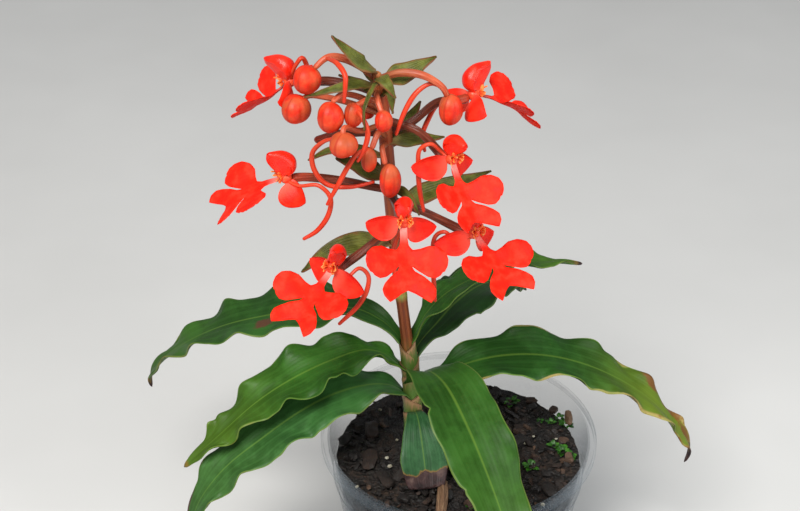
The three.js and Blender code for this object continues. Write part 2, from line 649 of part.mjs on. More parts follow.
function makeFlower(flower, index, stemSleeve) {
  const name = `flower_${index + 1}`;
  const holder = new THREE.Group();
  holder.position.copy(point(flower.at));
  holder.quaternion.setFromRotationMatrix(flowerTurn(flower));
  holder.updateMatrixWorld(true);
  const column = new THREE.IcosahedronGeometry(columnRadius, 0).scale(1.1, 0.9, 1.3);
  column.translate(0, columnRadius, columnRadius);
  const spurRoute = flower.spur.map((place) => holder.worldToLocal(point(place)).toArray());
  const spur = curveThrough([[0, 0.4, -0.8], ...spurRoute]);
  const pieces = [
    new THREE.SphereGeometry(throatRadius, 6, 4),
    lipGeometry(flower),
    bladeGeometry((u, v) => sepalPlace(flower, 1, u, v), 5, 3, petalThickness),
    bladeGeometry((u, v) => sepalPlace(flower, -1, u, -v), 5, 3, petalThickness),
    bladeGeometry(hoodPlace, 5, 4, petalThickness),
    column,
    tubeGeometry(spur, (u) => spurRadius * (0.8 + 0.7 * Math.sin(Math.PI * u ** 1.6)), 8, 5),
  ];
  addPiece(`${name}_bloom`, toGeometry(join(pieces)), petalSkin, holder);
  wholePlant.add(holder);
  const stalkEnd = [[0, -6, -0.8], [0, -throatRadius - clearance, -0.6]];
  const endPlaces = stalkEnd.map((place) => holder.localToWorld(point(place)).toArray());
  const stalkRoute = curveThrough([...flower.stalk, ...endPlaces]);
  const stalk = toSolid(tubeGeometry(stalkRoute, (u) => stalkRadius * (0.85 + 0.2 * u), 7, 7));
  addPiece(`${name}_stalk`, toGeometry(mainBody(stalk.subtract(stemSleeve))), stalkSkin);
}

function makeBud(bud, index, stemSleeve) {
  const name = `bud_${String(index + 1).padStart(2, '0')}`;
  const [width, height] = bud.size;
  const body = new THREE.SphereGeometry(0.5, 9, 5).rotateX(Math.PI / 2);
  const places = body.attributes.position;
  for (let i = 0; i < places.count; i += 1) {
    const spot = new THREE.Vector3().fromBufferAttribute(places, i);
    const lobes = 1 + 0.05 * Math.cos(3 * Math.atan2(spot.y, spot.x));
    places.setXYZ(i, spot.x * width * lobes, spot.y * width * lobes, spot.z * height);
  }
  body.translate(...bud.at);
  const pieces = [body, tubeGeometry(curveThrough(bud.stalk), () => budStalkRadius, 7, 6)];
  if (bud.spur) {
    const swollen = (u) => budSpurRadius * (0.8 + 0.6 * Math.sin(Math.PI * u));
    pieces.push(tubeGeometry(curveThrough(bud.spur), swollen, 9, 5));
  }
  addPiece(name, toGeometry(mainBody(join(pieces).subtract(stemSleeve))), budSkin);
}

const stemCurve = curveThrough(stemRoute);
const stemRadius = (u) => between(stemRadii, u);
const stemPoints = stemCurve.getSpacedPoints(stemSteps);
const stemAt = (height) => stemPoints.find((place) => place.z >= height).clone();
const stemSleeve = toSolid(tubeGeometry(stemCurve, (u) => stemRadius(u) + clearance, stemSteps, stemSides));

makePot();
makeMix(stemCurve);
addPiece('stem', toGeometry(toSolid(tubeGeometry(stemCurve, stemRadius, stemSteps, stemSides))), stemSkin);
leaves.forEach((leaf, index) => makeLeaf(leaf, index, stemSleeve, stemAt));
bracts.forEach((bract, index) => makeBract(bract, index, stemSleeve));
flowers.forEach((flower, index) => makeFlower(flower, index, stemSleeve));
buds.forEach((bud, index) => makeBud(bud, index, stemSleeve));
const ovaryRadius = (u) => ovaryEndRadius + ovarySwelling * Math.sin(Math.PI * u ** 1.5);
const ovaryTube = tubeGeometry(curveThrough(spentOvary), ovaryRadius, 7, 7);
addPiece('spent_ovary', toGeometry(mainBody(toSolid(ovaryTube).subtract(stemSleeve))), stalkSkin);

export default wholePlant;
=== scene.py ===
import bisect
import functools
import math
import random

import bmesh
import bpy
from mathutils import Matrix, Vector, noise


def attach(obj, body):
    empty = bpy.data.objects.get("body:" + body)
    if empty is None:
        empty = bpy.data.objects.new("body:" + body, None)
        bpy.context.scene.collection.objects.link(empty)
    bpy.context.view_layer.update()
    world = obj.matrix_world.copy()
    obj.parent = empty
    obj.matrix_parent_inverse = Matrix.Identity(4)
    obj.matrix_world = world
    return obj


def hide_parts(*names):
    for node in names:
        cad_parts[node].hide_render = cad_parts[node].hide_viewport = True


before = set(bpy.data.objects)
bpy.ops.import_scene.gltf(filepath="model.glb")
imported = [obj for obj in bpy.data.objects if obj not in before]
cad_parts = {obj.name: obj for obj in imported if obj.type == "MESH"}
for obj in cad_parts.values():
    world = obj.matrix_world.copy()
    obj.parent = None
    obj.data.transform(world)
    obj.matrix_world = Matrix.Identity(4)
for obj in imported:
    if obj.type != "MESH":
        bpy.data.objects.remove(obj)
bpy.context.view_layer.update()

# A thin-walled pot of clear plastic, moulded in one piece. Its rim is turned out and down, it tapers to a
# flat foot with six drain holes, and the mix and the plant stand in it.


millimetre = 0.001


def ink(code):
    """A colour from its six-digit code, as the shader wants it."""
    parts = [int(code[i:i + 2], 16) / 255 for i in (0, 2, 4)]
    return (*(c / 12.92 if c <= 0.04045 else ((c + 0.055) / 1.055) ** 2.4 for c in parts), 1.0)


class Finish:
    """A material that is laid up from patterns on one shader."""

    def __init__(self, name, **fixed):
        self.material = bpy.data.materials.new(name)
        self.material.use_nodes = True
        self.tree = self.material.node_tree
        self.shader = self.tree.nodes["Principled BSDF"]
        for socket, value in fixed.items():
            self.shader.inputs[socket.replace("_", " ")].default_value = value

    def put(self, socket, source):
        """Feeds one of the shader's sockets from a pattern."""
        self.tree.links.new(source, self.shader.inputs[socket])

    def add(self, kind, sources, result=0, **settings):
        """Adds one step of the pattern and gives what comes out of it."""
        node = self.tree.nodes.new("ShaderNode" + kind)
        for setting, value in settings.items():
            setattr(node, setting, value)
        for socket, source in sources.items():
            if isinstance(source, bpy.types.NodeSocket):
                self.tree.links.new(source, node.inputs[socket])
            else:
                node.inputs[socket].default_value = source
        return node.outputs[result]

    def place(self, kind="Object"):
        return self.add("TexCoord", {}, kind)

    def axis(self, vector, which):
        return self.add("SeparateXYZ", {0: vector}, which)

    def stretch(self, vector, scale):
        return self.add("Mapping", {"Vector": vector, "Scale": scale})

    def speckle(self, vector, scale, detail=4.0, roughness=0.6):
        sources = {"Vector": vector, "Scale": scale, "Detail": detail, "Roughness": roughness}
        return self.add("TexNoise", sources)

    def cells(self, vector, scale, result="Distance"):
        return self.add("TexVoronoi", {"Vector": vector, "Scale": scale}, result)

    def sum(self, operation, first, second=0.0, clamp=False):
        return self.add("Math", {0: first, 1: second}, operation=operation, use_clamp=clamp)

    def plus(self, first, second, clamp=False):
        return self.sum("ADD", first, second, clamp)

    def less(self, first, second):
        return self.sum("SUBTRACT", first, second)

    def times(self, first, second):
        return self.sum("MULTIPLY", first, second)

    def part(self, first, second):
        return self.sum("DIVIDE", first, second)

    def size(self, value):
        return self.sum("ABSOLUTE", value)

    def sine(self, turn):
        return self.sum("SINE", turn)

    def cosine(self, turn):
        return self.sum("COSINE", turn)

    def fit(self, value, low, high, to_low=0.0, to_high=1.0):
        """Carries a value from one range over to another, with soft ends."""
        sources = {"Value": value, "From Min": low, "From Max": high, "To Min": to_low, "To Max": to_high}
        return self.add("MapRange", sources, interpolation_type="SMOOTHSTEP")

    def blend(self, share, first, second):
        """Mixes two colours, each a socket, a colour or a colour code."""
        first, second = (ink(part) if isinstance(part, str) else part for part in (first, second))
        return self.add("Mix", {0: share, 6: first, 7: second}, 2, data_type="RGBA")

    def ramp(self, value, *stops):
        """Colours from stops of a place and a colour code."""
        node = self.tree.nodes.new("ShaderNodeValToRGB")
        while len(node.color_ramp.elements) < len(stops):
            node.color_ramp.elements.new(0.5)
        for element, (position, code) in zip(node.color_ramp.elements, stops):
            element.position = position
            element.color = ink(code)
        self.tree.links.new(value, node.inputs[0])
        return node.outputs[0]

    def relief(self, height, depth):
        """Raises the surface by a pattern, up to depth in millimetres."""
        self.put("Normal", self.add("Bump", {"Height": height, "Distance": depth * millimetre}))


def add_object(name, data):
    thing = bpy.data.objects.new(name, data)
    bpy.context.scene.collection.objects.link(thing)
    return thing


def to_mesh(name, shape):
    """Turns a shape that was made in millimetres into a mesh in metres."""
    bmesh.ops.scale(shape, vec=(millimetre, millimetre, millimetre), verts=shape.verts)
    mesh = bpy.data.meshes.new(name)
    shape.to_mesh(mesh)
    shape.free()
    return mesh


def add_piece(name, shape, finishes, slot, *replaced, crease=180):
    """Makes a shape into a piece of the plant. Edges that turn by more than crease degrees stay sharp."""
    mesh = to_mesh(name, shape)
    for finish in finishes:
        mesh.materials.append(finish.material)
    mesh.shade_smooth()
    if crease < 180:
        mesh.set_sharp_from_angle(angle=math.radians(crease))
    piece = add_object(name, mesh)
    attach(piece, "root")
    if replaced:
        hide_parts(*replaced)
    return piece


pot_foot_radius = 36.0
pot_neck_radius = 49.4
pot_neck_height = 84.4
pot_taper = (pot_neck_radius - pot_foot_radius) / pot_neck_height
pot_wall = 1.2
pot_floor = 1.6
pot_crease = 40
pot_profile = [
    (0, 0), (18, 0), (35.3, 0), (36, 0.9), (36.2, 2.5), (47.0, 69.6), (47.75, 70.6), (47.75, 72.4),
    (47.45, 73.4), (49.3, 84.2), (49.5, 86.9), (51.05, 86.9), (51.15, 84.6), (51.55, 84.4), (52, 84.9),
    (52, 87.1), (51.1, 88), (49.3, 88), (48.7, 87.5), (46.3, 73.6), (46.6, 72.4), (46.6, 70.8),
    (45.75, 69.4), (35.05, 1.6), (18, 1.6), (0, 1.6),
]
drain_hole_radius = 3.5
drain_hole_circle = 23.0
drain_hole_count = 6
punch_length = 6.0


def inner_radius(height):
    """How far the wall's inside stands from the pot's axis at a height."""
    return pot_foot_radius - pot_wall + pot_taper * height


pot_shape = bmesh.new()
corners = [pot_shape.verts.new((radius, 0, height)) for radius, height in pot_profile]
wall_line = [pot_shape.edges.new(pair) for pair in zip(corners, corners[1:])]
bmesh.ops.spin(
    pot_shape, geom=corners + wall_line, cent=(0, 0, 0), axis=(0, 0, 1), angle=math.tau, steps=128,
    use_merge=True,
)
bmesh.ops.remove_doubles(pot_shape, verts=pot_shape.verts, dist=1e-3)
bmesh.ops.recalc_face_normals(pot_shape, faces=pot_shape.faces)

clear_plastic = Finish("clear_plastic", Base_Color=ink("66747f"), IOR=1.49)
scuffs = clear_plastic.speckle(clear_plastic.place(), 420, 6, 0.7)
drips = clear_plastic.speckle(clear_plastic.stretch(clear_plastic.place(), (90, 90, 9)), 1.0, 3)
slope = clear_plastic.add("LayerWeight", {"Blend": 0.3}, "Facing")
film = clear_plastic.fit(clear_plastic.plus(scuffs, drips), 1.05, 1.45, 0.0, 0.07)
clear_plastic.put("Alpha", clear_plastic.plus(clear_plastic.fit(slope, 0.25, 1.0, 0.06, 0.66), film, True))
clear_plastic.put("Roughness", clear_plastic.fit(scuffs, 0.35, 0.75, 0.05, 0.22))
clear_plastic.relief(drips, 0.1)

pot_piece = add_piece("pot_shell", pot_shape, [clear_plastic], "clear_plastic", "pot", crease=pot_crease)
hole_punch = bmesh.new()
for k in range(drain_hole_count):
    turn = math.tau * (k + 0.5) / drain_hole_count
    spot = (drain_hole_circle * math.cos(turn), drain_hole_circle * math.sin(turn), pot_floor / 2)
    bmesh.ops.create_cone(
        hole_punch, cap_ends=True, segments=32, radius1=drain_hole_radius, radius2=drain_hole_radius,
        depth=punch_length, matrix=Matrix.Translation(spot),
    )
punch = add_object("hole_punch", to_mesh("hole_punch", hole_punch))
drilled = pot_piece.modifiers.new("drain_holes", "BOOLEAN")
drilled.object = punch
drilled.solver = "EXACT"
whole_pot = pot_piece.evaluated_get(bpy.context.evaluated_depsgraph_get())
drilled_mesh = bpy.data.meshes.new_from_object(whole_pot)
pot_piece.modifiers.clear()
pot_piece.data = drilled_mesh
drilled_mesh.shade_smooth()
drilled_mesh.set_sharp_from_angle(angle=math.radians(pot_crease))
bpy.data.objects.remove(punch)

# Dark damp bark and peat that was poured in round the plant and lies in low lumps, a little below the rim.
# Chips of bark, bits of perlite, a dry husk and small green sprouts lie and grow on it.
mix_level = 76.0
mix_gap = 0.3
lump_height = 1.1
mix_floor_rings = 6
mix_wall_rings = 26
mix_top_rings = 64
mix_rings = mix_floor_rings + mix_wall_rings + mix_top_rings


def lay_sheet(shape, steps, across, place, layer=0):
    """Lays a grid whose points move to place(u, v): u runs 0 to 1 along it and v from -1 to 1 across."""
    chart = shape.loops.layers.uv.verify()
    points = bmesh.ops.create_grid(shape, x_segments=steps, y_segments=across, size=1.0)["verts"]
    for face in {face for point in points for face in point.link_faces}:
        face.material_index = layer
        for corner in face.loops:
            corner[chart].uv = ((corner.vert.co.x + 1) / 2, (corner.vert.co.y + 1) / 2)
    for point in points:
        point.co = place((point.co.x + 1) / 2, point.co.y)
    return points


def close_up(shape, points):
    """Merges what meets, such as the seam and the poles of a rolled sheet."""
    bmesh.ops.remove_doubles(shape, verts=points, dist=1e-3)
    return [point for point in points if point.is_valid]


def mix_top(x, y):
    """The height of the mix at a spot: low lumps that die out at the wall."""
    fade = 1 - (math.hypot(x, y) / inner_radius(mix_level)) ** 4
    coarse = math.sin(0.31 * x + 1.1) * math.cos(0.27 * y - 0.4)
    fine = 0.6 * math.sin(0.73 * x - 0.52 * y + 2)
    return mix_level + lump_height * fade * (coarse + fine)


def mix_place(u, v):
    """The skin of the mix in rings: out over the pot's floor, up its wall, and in over the lumpy top."""
    ring = round(u * mix_rings)
    floor = pot_floor + mix_gap
    if ring <= mix_floor_rings:
        radius, height = (inner_radius(floor) - mix_gap) * ring / mix_floor_rings, floor
    elif ring <= mix_floor_rings + mix_wall_rings:
        height = floor + (mix_level - floor) * (ring - mix_floor_rings) / mix_wall_rings
        radius = inner_radius(height) - mix_gap
    else:
        share = (ring - mix_floor_rings - mix_wall_rings) / mix_top_rings
        radius, height = (inner_radius(mix_level) - mix_gap) * (1 - share), None
    x, y = radius * math.cos(math.pi * v), radius * math.sin(math.pi * v)
    if height is None:
        crumbs = noise.noise(Vector((x, y, 0)) * 0.5) + 0.7 * noise.noise(Vector((x, y, 9)) * 1.1)
        return Vector((x, y, mix_top(x, y) + 0.8 * crumbs * min(1.0, 4 * share)))
    spot = Vector((x, y, height))
    crumble = 1 - 0.022 * abs(noise.noise(spot * 0.35)) - 0.012 * abs(noise.noise(spot * 0.9))
    return Vector((x * crumble, y * crumble, height))


mix_shape = bmesh.new()
lay_sheet(mix_shape, mix_rings, 144, mix_place)
close_up(mix_shape, mix_shape.verts)
bmesh.ops.recalc_face_normals(mix_shape, faces=mix_shape.faces)

damp_peat = Finish("damp_peat")
ground = damp_peat.place()
clods = damp_peat.speckle(ground, 190, 8, 0.7)
fibres = damp_peat.speckle(damp_peat.stretch(ground, (500, 180, 300)), 1.0, 5, 0.7)
crumb_cells = damp_peat.cells(ground, 620)
damp_peat.put("Base Color", damp_peat.ramp(
    damp_peat.times(clods, damp_peat.plus(fibres, 0.5)),
    (0.34, "080604"), (0.5, "17100b"), (0.62, "2b1e15"), (0.8, "4a3728"),
))
damp_peat.put("Roughness", damp_peat.fit(clods, 0.35, 0.7, 0.5, 0.95))
damp_peat.relief(damp_peat.plus(clods, damp_peat.times(crumb_cells, 0.7)), 1.6)
add_piece("mix_bed", mix_shape, [damp_peat], "mix", "potting_mix")


def scatter_bit(shape, make, size, turn, spot, shade, roughness, rng):
    """Adds one loose bit: make gives its points, which are jittered, sized, turned and put down."""
    points = make(shape)
    tint = shape.verts.layers.float["shade"]
    for point in points:
        point.co *= 1 + rng.uniform(-roughness, roughness)
        point[tint] = shade
    place = Matrix.Translation(spot) @ turn.to_matrix().to_4x4() @ Matrix.Diagonal((*size, 1))
    bmesh.ops.transform(shape, verts=points, matrix=place)


def chip_points(shape):
    """A block with blunt corners."""
    points = bmesh.ops.create_icosphere(shape, subdivisions=2, radius=1.0)["verts"]
    for point in points:
        point.co = Vector([math.copysign(abs(part) ** 0.6, part) for part in point.co]) * 0.48
    return points


def crumb_points(shape):
    return bmesh.ops.create_icosphere(shape, subdivisions=1, radius=0.5)["verts"]


def flat_turn(rng, tilt):
    """Any way round, and a little off the level."""
    turn = Matrix.Rotation(rng.uniform(0, math.tau), 3, "Z") @ Matrix.Rotation(rng.gauss(0, tilt), 3, "X")
    return (turn @ Matrix.Rotation(rng.gauss(0, tilt), 3, "Y")).to_quaternion()


chip_count = 420
crumb_count = 520
wall_chip_count = 170
scatter_radius = 46.0
wall_chip_depth = 0.85
bark_rng = random.Random(7)
bark_shape = bmesh.new()
bark_shape.verts.layers.float.new("shade")
for k in range(chip_count + crumb_count):
    reach, turn = scatter_radius * math.sqrt(bark_rng.random()), bark_rng.uniform(0, math.tau)
    x, y = reach * math.cos(turn), reach * math.sin(turn)
    length = min(8.0, 2.0 * bark_rng.lognormvariate(0, 0.45)) * (1.5 if k < chip_count else 0.6)
    size = (length, length * bark_rng.uniform(0.4, 0.8), length * bark_rng.uniform(0.22, 0.5))
    edge_room = 1.0 if reach > 40 else 1.6
    spot = (x, y, mix_top(x, y) + size[2] * 0.2 + bark_rng.uniform(-0.4, edge_room))
    shade = 0.8 * bark_rng.random() ** 1.7
    scatter_bit(bark_shape, chip_points if k < chip_count else crumb_points, size,
                flat_turn(bark_rng, 0.45), spot, shade, 0.2, bark_rng)
for k in range(wall_chip_count):
    turn, height = bark_rng.uniform(0, math.tau), bark_rng.uniform(5, 69)
    length = min(10.0, 4.5 * bark_rng.lognormvariate(0, 0.4))
    size = (0.9, length, length * bark_rng.uniform(0.3, 0.7))
    reach = inner_radius(height) - wall_chip_depth
    facing = Matrix.Rotation(turn, 3, "Z") @ Matrix.Rotation(bark_rng.uniform(-0.7, 0.7), 3, "X")
    spot = (reach * math.cos(turn), reach * math.sin(turn), height)
    shade = 0.7 * bark_rng.random()
    scatter_bit(bark_shape, chip_points, size, facing.to_quaternion(), spot, shade, 0.1, bark_rng)
for spot, size, turn, shade in (
    ((-33.0, 13.0, 78.2), (5.5, 10.0, 2.6), 0.1, 0.6), ((-33.2, -4.5, 78.0), (5.5, 12.0, 2.6), -0.1, 0.5),
    ((-43.0, 7.0, 78.0), (4.0, 9.0, 2.4), -0.4, 0.3), ((-27.5, -16.0, 78.0), (5.0, 10.0, 2.4), 0.5, 0.4),
    ((-2.5, -37.0, 78.0), (4.0, 9.0, 2.2), 0.9, 0.4), ((43.4, 16.4, 81.5), (2.4, 4.2, 6.0), 0.36, 1.0),
    ((38.5, 26.0, 77.8), (4.0, 3.4, 2.0), 1.1, 0.7), ((14.0, -38.0, 77.8), (4.2, 8.0, 2.2), 1.3, 0.3),
    ((33.0, -21.0, 77.6), (5.0, 8.0, 2.2), 0.4, 0.2),
):
    turned = Matrix.Rotation(turn, 3, "Z").to_quaternion()
    scatter_bit(bark_shape, chip_points, size, turned, spot, shade, 0.12, bark_rng)

bark = Finish("bark")
grain = bark.speckle(bark.stretch(bark.place(), (900, 300, 900)), 1.0, 6, 0.7)
patches = bark.speckle(bark.place(), 260, 4, 0.6)
chip_shade = bark.add("Attribute", {}, "Fac", attribute_name="shade")
tone = bark.plus(bark.times(chip_shade, 0.6), bark.times(patches, 0.4))
bark.put("Base Color", bark.blend(
    bark.fit(grain, 0.35, 0.7),
    bark.ramp(tone, (0.1, "060403"), (0.4, "120c08"), (0.6, "2a1c14"), (0.82, "6e5440")),
    bark.ramp(tone, (0.1, "0c0806"), (0.45, "21160f"), (0.65, "3d291d"), (0.85, "82664c")),
))
bark.put("Roughness", bark.fit(patches, 0.3, 0.7, 0.45, 0.9))
bark.relief(grain, 0.45)
add_piece("bark_bits", bark_shape, [bark], "mix", crease=35)

perlite_rise = 1.6
perlite_rng = random.Random(11)
perlite_shape = bmesh.new()
perlite_spots = [
    (24.8, 12.5, 2.6), (26.0, 7.0, 3.0), (-27.0, -3.2, 1.6), (-25.9, -9.0, 1.9), (-23.2, 7.6, 1.4),
    (12, 30, 1.6), (-8, -41, 1.8), (30, -30, 1.7), (-38, -20, 1.4), (38, 8, 1.2), (4, 41, 1.9),
    (-30, 27, 1.5), (17, -22, 1.1), (29.4, 9.5, 1.0), (22.6, 15.8, 1.0),
]
for x, y, width in perlite_spots:
    points = bmesh.ops.create_icosphere(perlite_shape, subdivisions=2, radius=width / 2)["verts"]
    for point in points:
        point.co *= 1 + 0.35 * noise.noise(point.co * 1.5 + Vector((x, y, 0)))
    squash = Matrix.Diagonal((1, perlite_rng.uniform(0.7, 1), 0.75, 1))
    spot = (x, y, mix_top(x, y) + perlite_rise)
    bmesh.ops.transform(perlite_shape, verts=points, matrix=Matrix.Translation(spot) @ squash)
perlite = Finish("perlite", Roughness=0.8)
pores = perlite.cells(perlite.place(), 2200)
stains = perlite.speckle(perlite.place(), 500)
perlite.put("Base Color", perlite.ramp(stains, (0.35, "5c5644"), (0.55, "a29d8a"), (0.7, "c4c1b2")))
perlite.relief(pores, 0.3)
add_piece("perlite_bits", perlite_shape, [perlite], "mix")


def thicken(shape, points, thickness, rim_share=0.35):
    """Gives a laid sheet its thickness, half to each side, and thins it out at its rim."""
    faces = list({face for point in points for face in point.link_faces})
    edges = list({edge for face in faces for edge in face.edges})
    shape.normal_update()
    whole = faces + edges + list(points)
    made = bmesh.ops.extrude_face_region(shape, geom=whole, use_keep_orig=True)["geom"]
    raised = {part for part in made if isinstance(part, bmesh.types.BMVert)}
    bmesh.ops.reverse_faces(shape, faces=faces)
    for point in raised:
        point.co += point.normal * thickness / 2
    for point in points:
        point.co -= point.normal * thickness / 2
    for point in points:
        for edge in point.link_edges:
            other = edge.other_vert(point)
            if other in raised:
                middle = (point.co + other.co) / 2
                point.co = middle + (point.co - middle) * rim_share
                other.co = middle + (other.co - middle) * rim_share


leaflets_per_sprout = 9
leaflet_thickness = 0.25
sprout_rise = 0.9
sprout_rng = random.Random(23)
sprout_shape = bmesh.new()
sprout_spots = [
    (22.1, 31.5, 3.4), (32.7, 19.9, 1.8), (37.0, 18.7, 2.2), (42.5, 17.0, 3.6), (40.5, 21.5, 2.4),
    (40.0, 0.5, 3.6), (36.8, 4.0, 2.8), (43.0, -2.5, 2.4), (27.2, -9.0, 3.4), (3.5, -30.4, 2.0),
]
for x, y, spread in sprout_spots:
    for k in range(leaflets_per_sprout):
        turn = math.tau * (k + sprout_rng.random()) / leaflets_per_sprout
        lift = sprout_rng.uniform(0.25, 1.1)
        length = spread * sprout_rng.uniform(0.5, 0.8)
        level = Vector((math.cos(turn), math.sin(turn), 0))
        start = Vector((x, y, mix_top(x, y) + sprout_rise)) + level * spread * 0.25
        out = Vector((math.cos(turn) * math.cos(lift), math.sin(turn) * math.cos(lift), math.sin(lift)))
        side = Vector((-math.sin(turn), math.cos(turn), 0))

        def leaflet_place(u, v, start=start, out=out, side=side, length=length):
            width = length * 0.42 * math.sin(math.pi * min(0.97, 0.06 + 0.9 * u ** 1.3)) ** 0.7
            cup = out.cross(side) * length * (0.2 * v * v - 0.35 * u * u)
            return start + out * length * (0.15 + u) + side * v * width + cup

        leaflet = lay_sheet(sprout_shape, 6, 4, leaflet_place)
        thicken(sprout_shape, leaflet, leaflet_thickness)
sprout_green = Finish("sprout_green", Roughness=0.45)
sprout_tone = sprout_green.speckle(sprout_green.place(), 420)
sprout_green.put("Base Color", sprout_green.ramp(
    sprout_tone, (0.35, "163a09"), (0.52, "285a10"), (0.68, "46801c"),
))
sprout_green.relief(sprout_tone, 0.12)
add_piece("sprouts", sprout_shape, [sprout_green], "leaf")

# One leaning stem rises from the mix. Its skin is reddish brown and grooved and green at a joint half way
# up.
# A highlight is painted along its ridges, and shade below the joint. Thin sheaths wrap its foot, where the
# leaves grow from it.
stem_places = [
    (-17, 4, 52), (-17, 4, 76), (-17.6, 4, 106), (-19.6, 3.4, 128), (-23.6, 2, 167), (-26, 1.2, 200),
    (-27.6, 0.8, 222), (-29.8, 0, 238),
]
stem_radii = [
    (0, 3.1), (0.28, 3.0), (0.36, 2.7), (0.41, 2.1), (0.5, 2.0), (0.8, 2.4), (0.93, 2.2), (1, 1.4),
]
stem_foot = 52
stem_run = 188
route_steps = 40


class Route:
    """The smooth line through some places. A share is a part of its length."""

    def __init__(self, places):
        knots = [Vector(place) for place in places]
        knots = [2 * knots[0] - knots[1], *knots, 2 * knots[-1] - knots[-2]]
        self.line = []
        for before, start, end, after in zip(knots, knots[1:], knots[2:], knots[3:]):
            pairs = ((before, start), (start, end), (end, after))
            near, gap, far = (math.sqrt((b - a).length) for a, b in pairs)
            leave = (start - before) / near - (end - before) / (near + gap) + (end - start) / gap
            reach = (end - start) / gap - (after - start) / (gap + far) + (after - end) / far
            for k in range(route_steps):
                t = k / route_steps
                self.line.append(
                    (2 * t ** 3 - 3 * t ** 2 + 1) * start + (3 * t ** 2 - 2 * t ** 3) * end
                    + (t ** 3 - 2 * t ** 2 + t) * gap * leave + (t ** 3 - t ** 2) * gap * reach
                )
        self.line.append(knots[-2])
        self.lengths = [0.0]
        for a, b in zip(self.line, self.line[1:]):
            self.lengths.append(self.lengths[-1] + (b - a).length)
        self.length = self.lengths[-1]

    def spot(self, share):
        """The place at a share."""
        target = min(max(share, 0.0), 1.0) * self.length
        k = min(max(bisect.bisect_right(self.lengths, target) - 1, 0), len(self.line) - 2)
        part = (target - self.lengths[k]) / (self.lengths[k + 1] - self.lengths[k])
        return self.line[k].lerp(self.line[k + 1], part)

    @functools.lru_cache(maxsize=None)
    def at(self, share):
        """The place at a share, and the heading there."""
        near = 0.004
        heading = self.spot(min(share + near, 1)) - self.spot(max(share - near, 0))
        return self.spot(share), heading.normalized()


def between(pairs, position):
    """Reads a list of places and values, in straight lines from one pair to the next."""
    for (x0, y0), (x1, y1) in zip(pairs, pairs[1:]):
        if position <= x1:
            return y0 + (y1 - y0) * (position - x0) / (x1 - x0)
    return pairs[-1][1]


def grow_tube(shape, route, radius_at, steps, sides, ridge=lambda share, turn: 1.0, layer=0):
    """Rolls a grid round a route into a closed tube with round ends."""
    round_end = ((0, 0), (0.13, 0.5), (0.5, 0.866))
    near, far = radius_at(0) / route.length, radius_at(1) / route.length
    stations = [share * near for share, factor in round_end]
    stations += [near + (1 - far - near) * k / steps for k in range(steps + 1)]
    stations += [1 - share * far for share, factor in reversed(round_end)]
    squeeze = [factor for share, factor in round_end]
    squeeze += [1.0] * (steps + 1) + squeeze[::-1]
    rings, side = [], route.at(0.0)[1].orthogonal()
    for share, factor in zip(stations, squeeze):
        centre, heading = route.at(share)
        side = (side - heading * side.dot(heading)).normalized()
        rings.append((centre, side, heading.cross(side), radius_at(share) * factor, share))

    def place(u, v):
        centre, side, other, radius, share = rings[round(u * (len(rings) - 1))]
        turn = -math.pi * v
        reach = radius * ridge(share, turn)
        return centre + side * math.cos(turn) * reach + other * math.sin(turn) * reach

    return close_up(shape, lay_sheet(shape, len(rings) - 1, sides, place, layer))


stem_route = Route(stem_places)
stem_stations = [stem_route.spot(k / 18) for k in range(19)]


def stem_at(height):
    """The first of the stem's stations at or above a height."""
    return next(place for place in stem_stations if place.z >= height).copy()


def stem_ridge(share, turn):
    """Seven sharp ridges on the upper stem, and a thicker ring at its joint."""
    grooved = min(1.0, max(0.0, (share - 0.3) / 0.15))
    joint = 0.1 * math.exp(-((share - 0.515) / 0.012) ** 2)
    sharp = abs(math.sin(3.5 * turn)) ** 0.6
    return 1 + joint + grooved * (0.1 * sharp - 0.06)


stem_shape = bmesh.new()
grow_tube(stem_shape, stem_route, lambda share: between(stem_radii, share), 200, 56, stem_ridge)

stem_skin = Finish("stem_skin", Specular_IOR_Level=0.35)
length_along = stem_skin.axis(stem_skin.place("UV"), 0)
around = stem_skin.axis(stem_skin.place("UV"), 1)
streaks = stem_skin.speckle(stem_skin.stretch(stem_skin.place("UV"), (22, 90, 1)), 1.0, 5, 0.65)
ridge_wave = stem_skin.size(stem_skin.sine(stem_skin.times(around, 7 * math.pi)))
# The skin's colours up the stem. The darker stops just below the joint are painted shade.
skin_with_shade = stem_skin.ramp(
    length_along, (0.0, "4a5220"), (0.34, "6a6c30"), (0.42, "6e361c"), (0.5, "6c3018"),
    (0.515, "8a9648"), (0.535, "74361a"), (0.8, "8a3a1a"), (0.94, "a54624"), (1.0, "b06a38"),
)
# The paler colour laid along the ridge crests is a painted highlight.
stem_skin.put("Base Color", stem_skin.blend(
    stem_skin.times(stem_skin.fit(ridge_wave, 0.45, 1.0), 0.34), skin_with_shade, "ac6238",
))
stem_skin.put("Roughness", stem_skin.fit(streaks, 0.3, 0.7, 0.28, 0.5))
stem_skin.relief(stem_skin.plus(streaks, ridge_wave), 0.2)
add_piece("stem_skin", stem_shape, [stem_skin], "stem", "stem")

sheath_thickness = 0.4
sheaths = [
    (204, 90, 104, 0.7), (4, 92, 106, 0.8), (281, 86, 97, 0.5), (294, 99, 115, 0.9), (199, 104, 118, 0.7),
    (52, 108, 121, 0.7), (156, 114, 128, 0.7), (25, 116, 129, 0.5),
]
sheath_shape = bmesh.new()
for azimuth, foot, top, flare in sheaths:

    def sheath_place(u, v, azimuth=azimuth, foot=foot, top=top, flare=flare):
        turn = math.radians(azimuth) + 2.7 * v
        height = foot + (top - foot) * u * (1 - 0.5 * abs(v) ** 1.5)
        share = (height - stem_foot) / stem_run
        centre = stem_route.spot(share)
        reach = between(stem_radii, share) + 0.25 + flare * u ** 3 * (1 - v * v) + 0.05 * math.sin(40 * v)
        return Vector((centre.x + reach * math.cos(turn), centre.y + reach * math.sin(turn), height))

    thicken(sheath_shape, lay_sheet(sheath_shape, 14, 36, sheath_place), sheath_thickness)
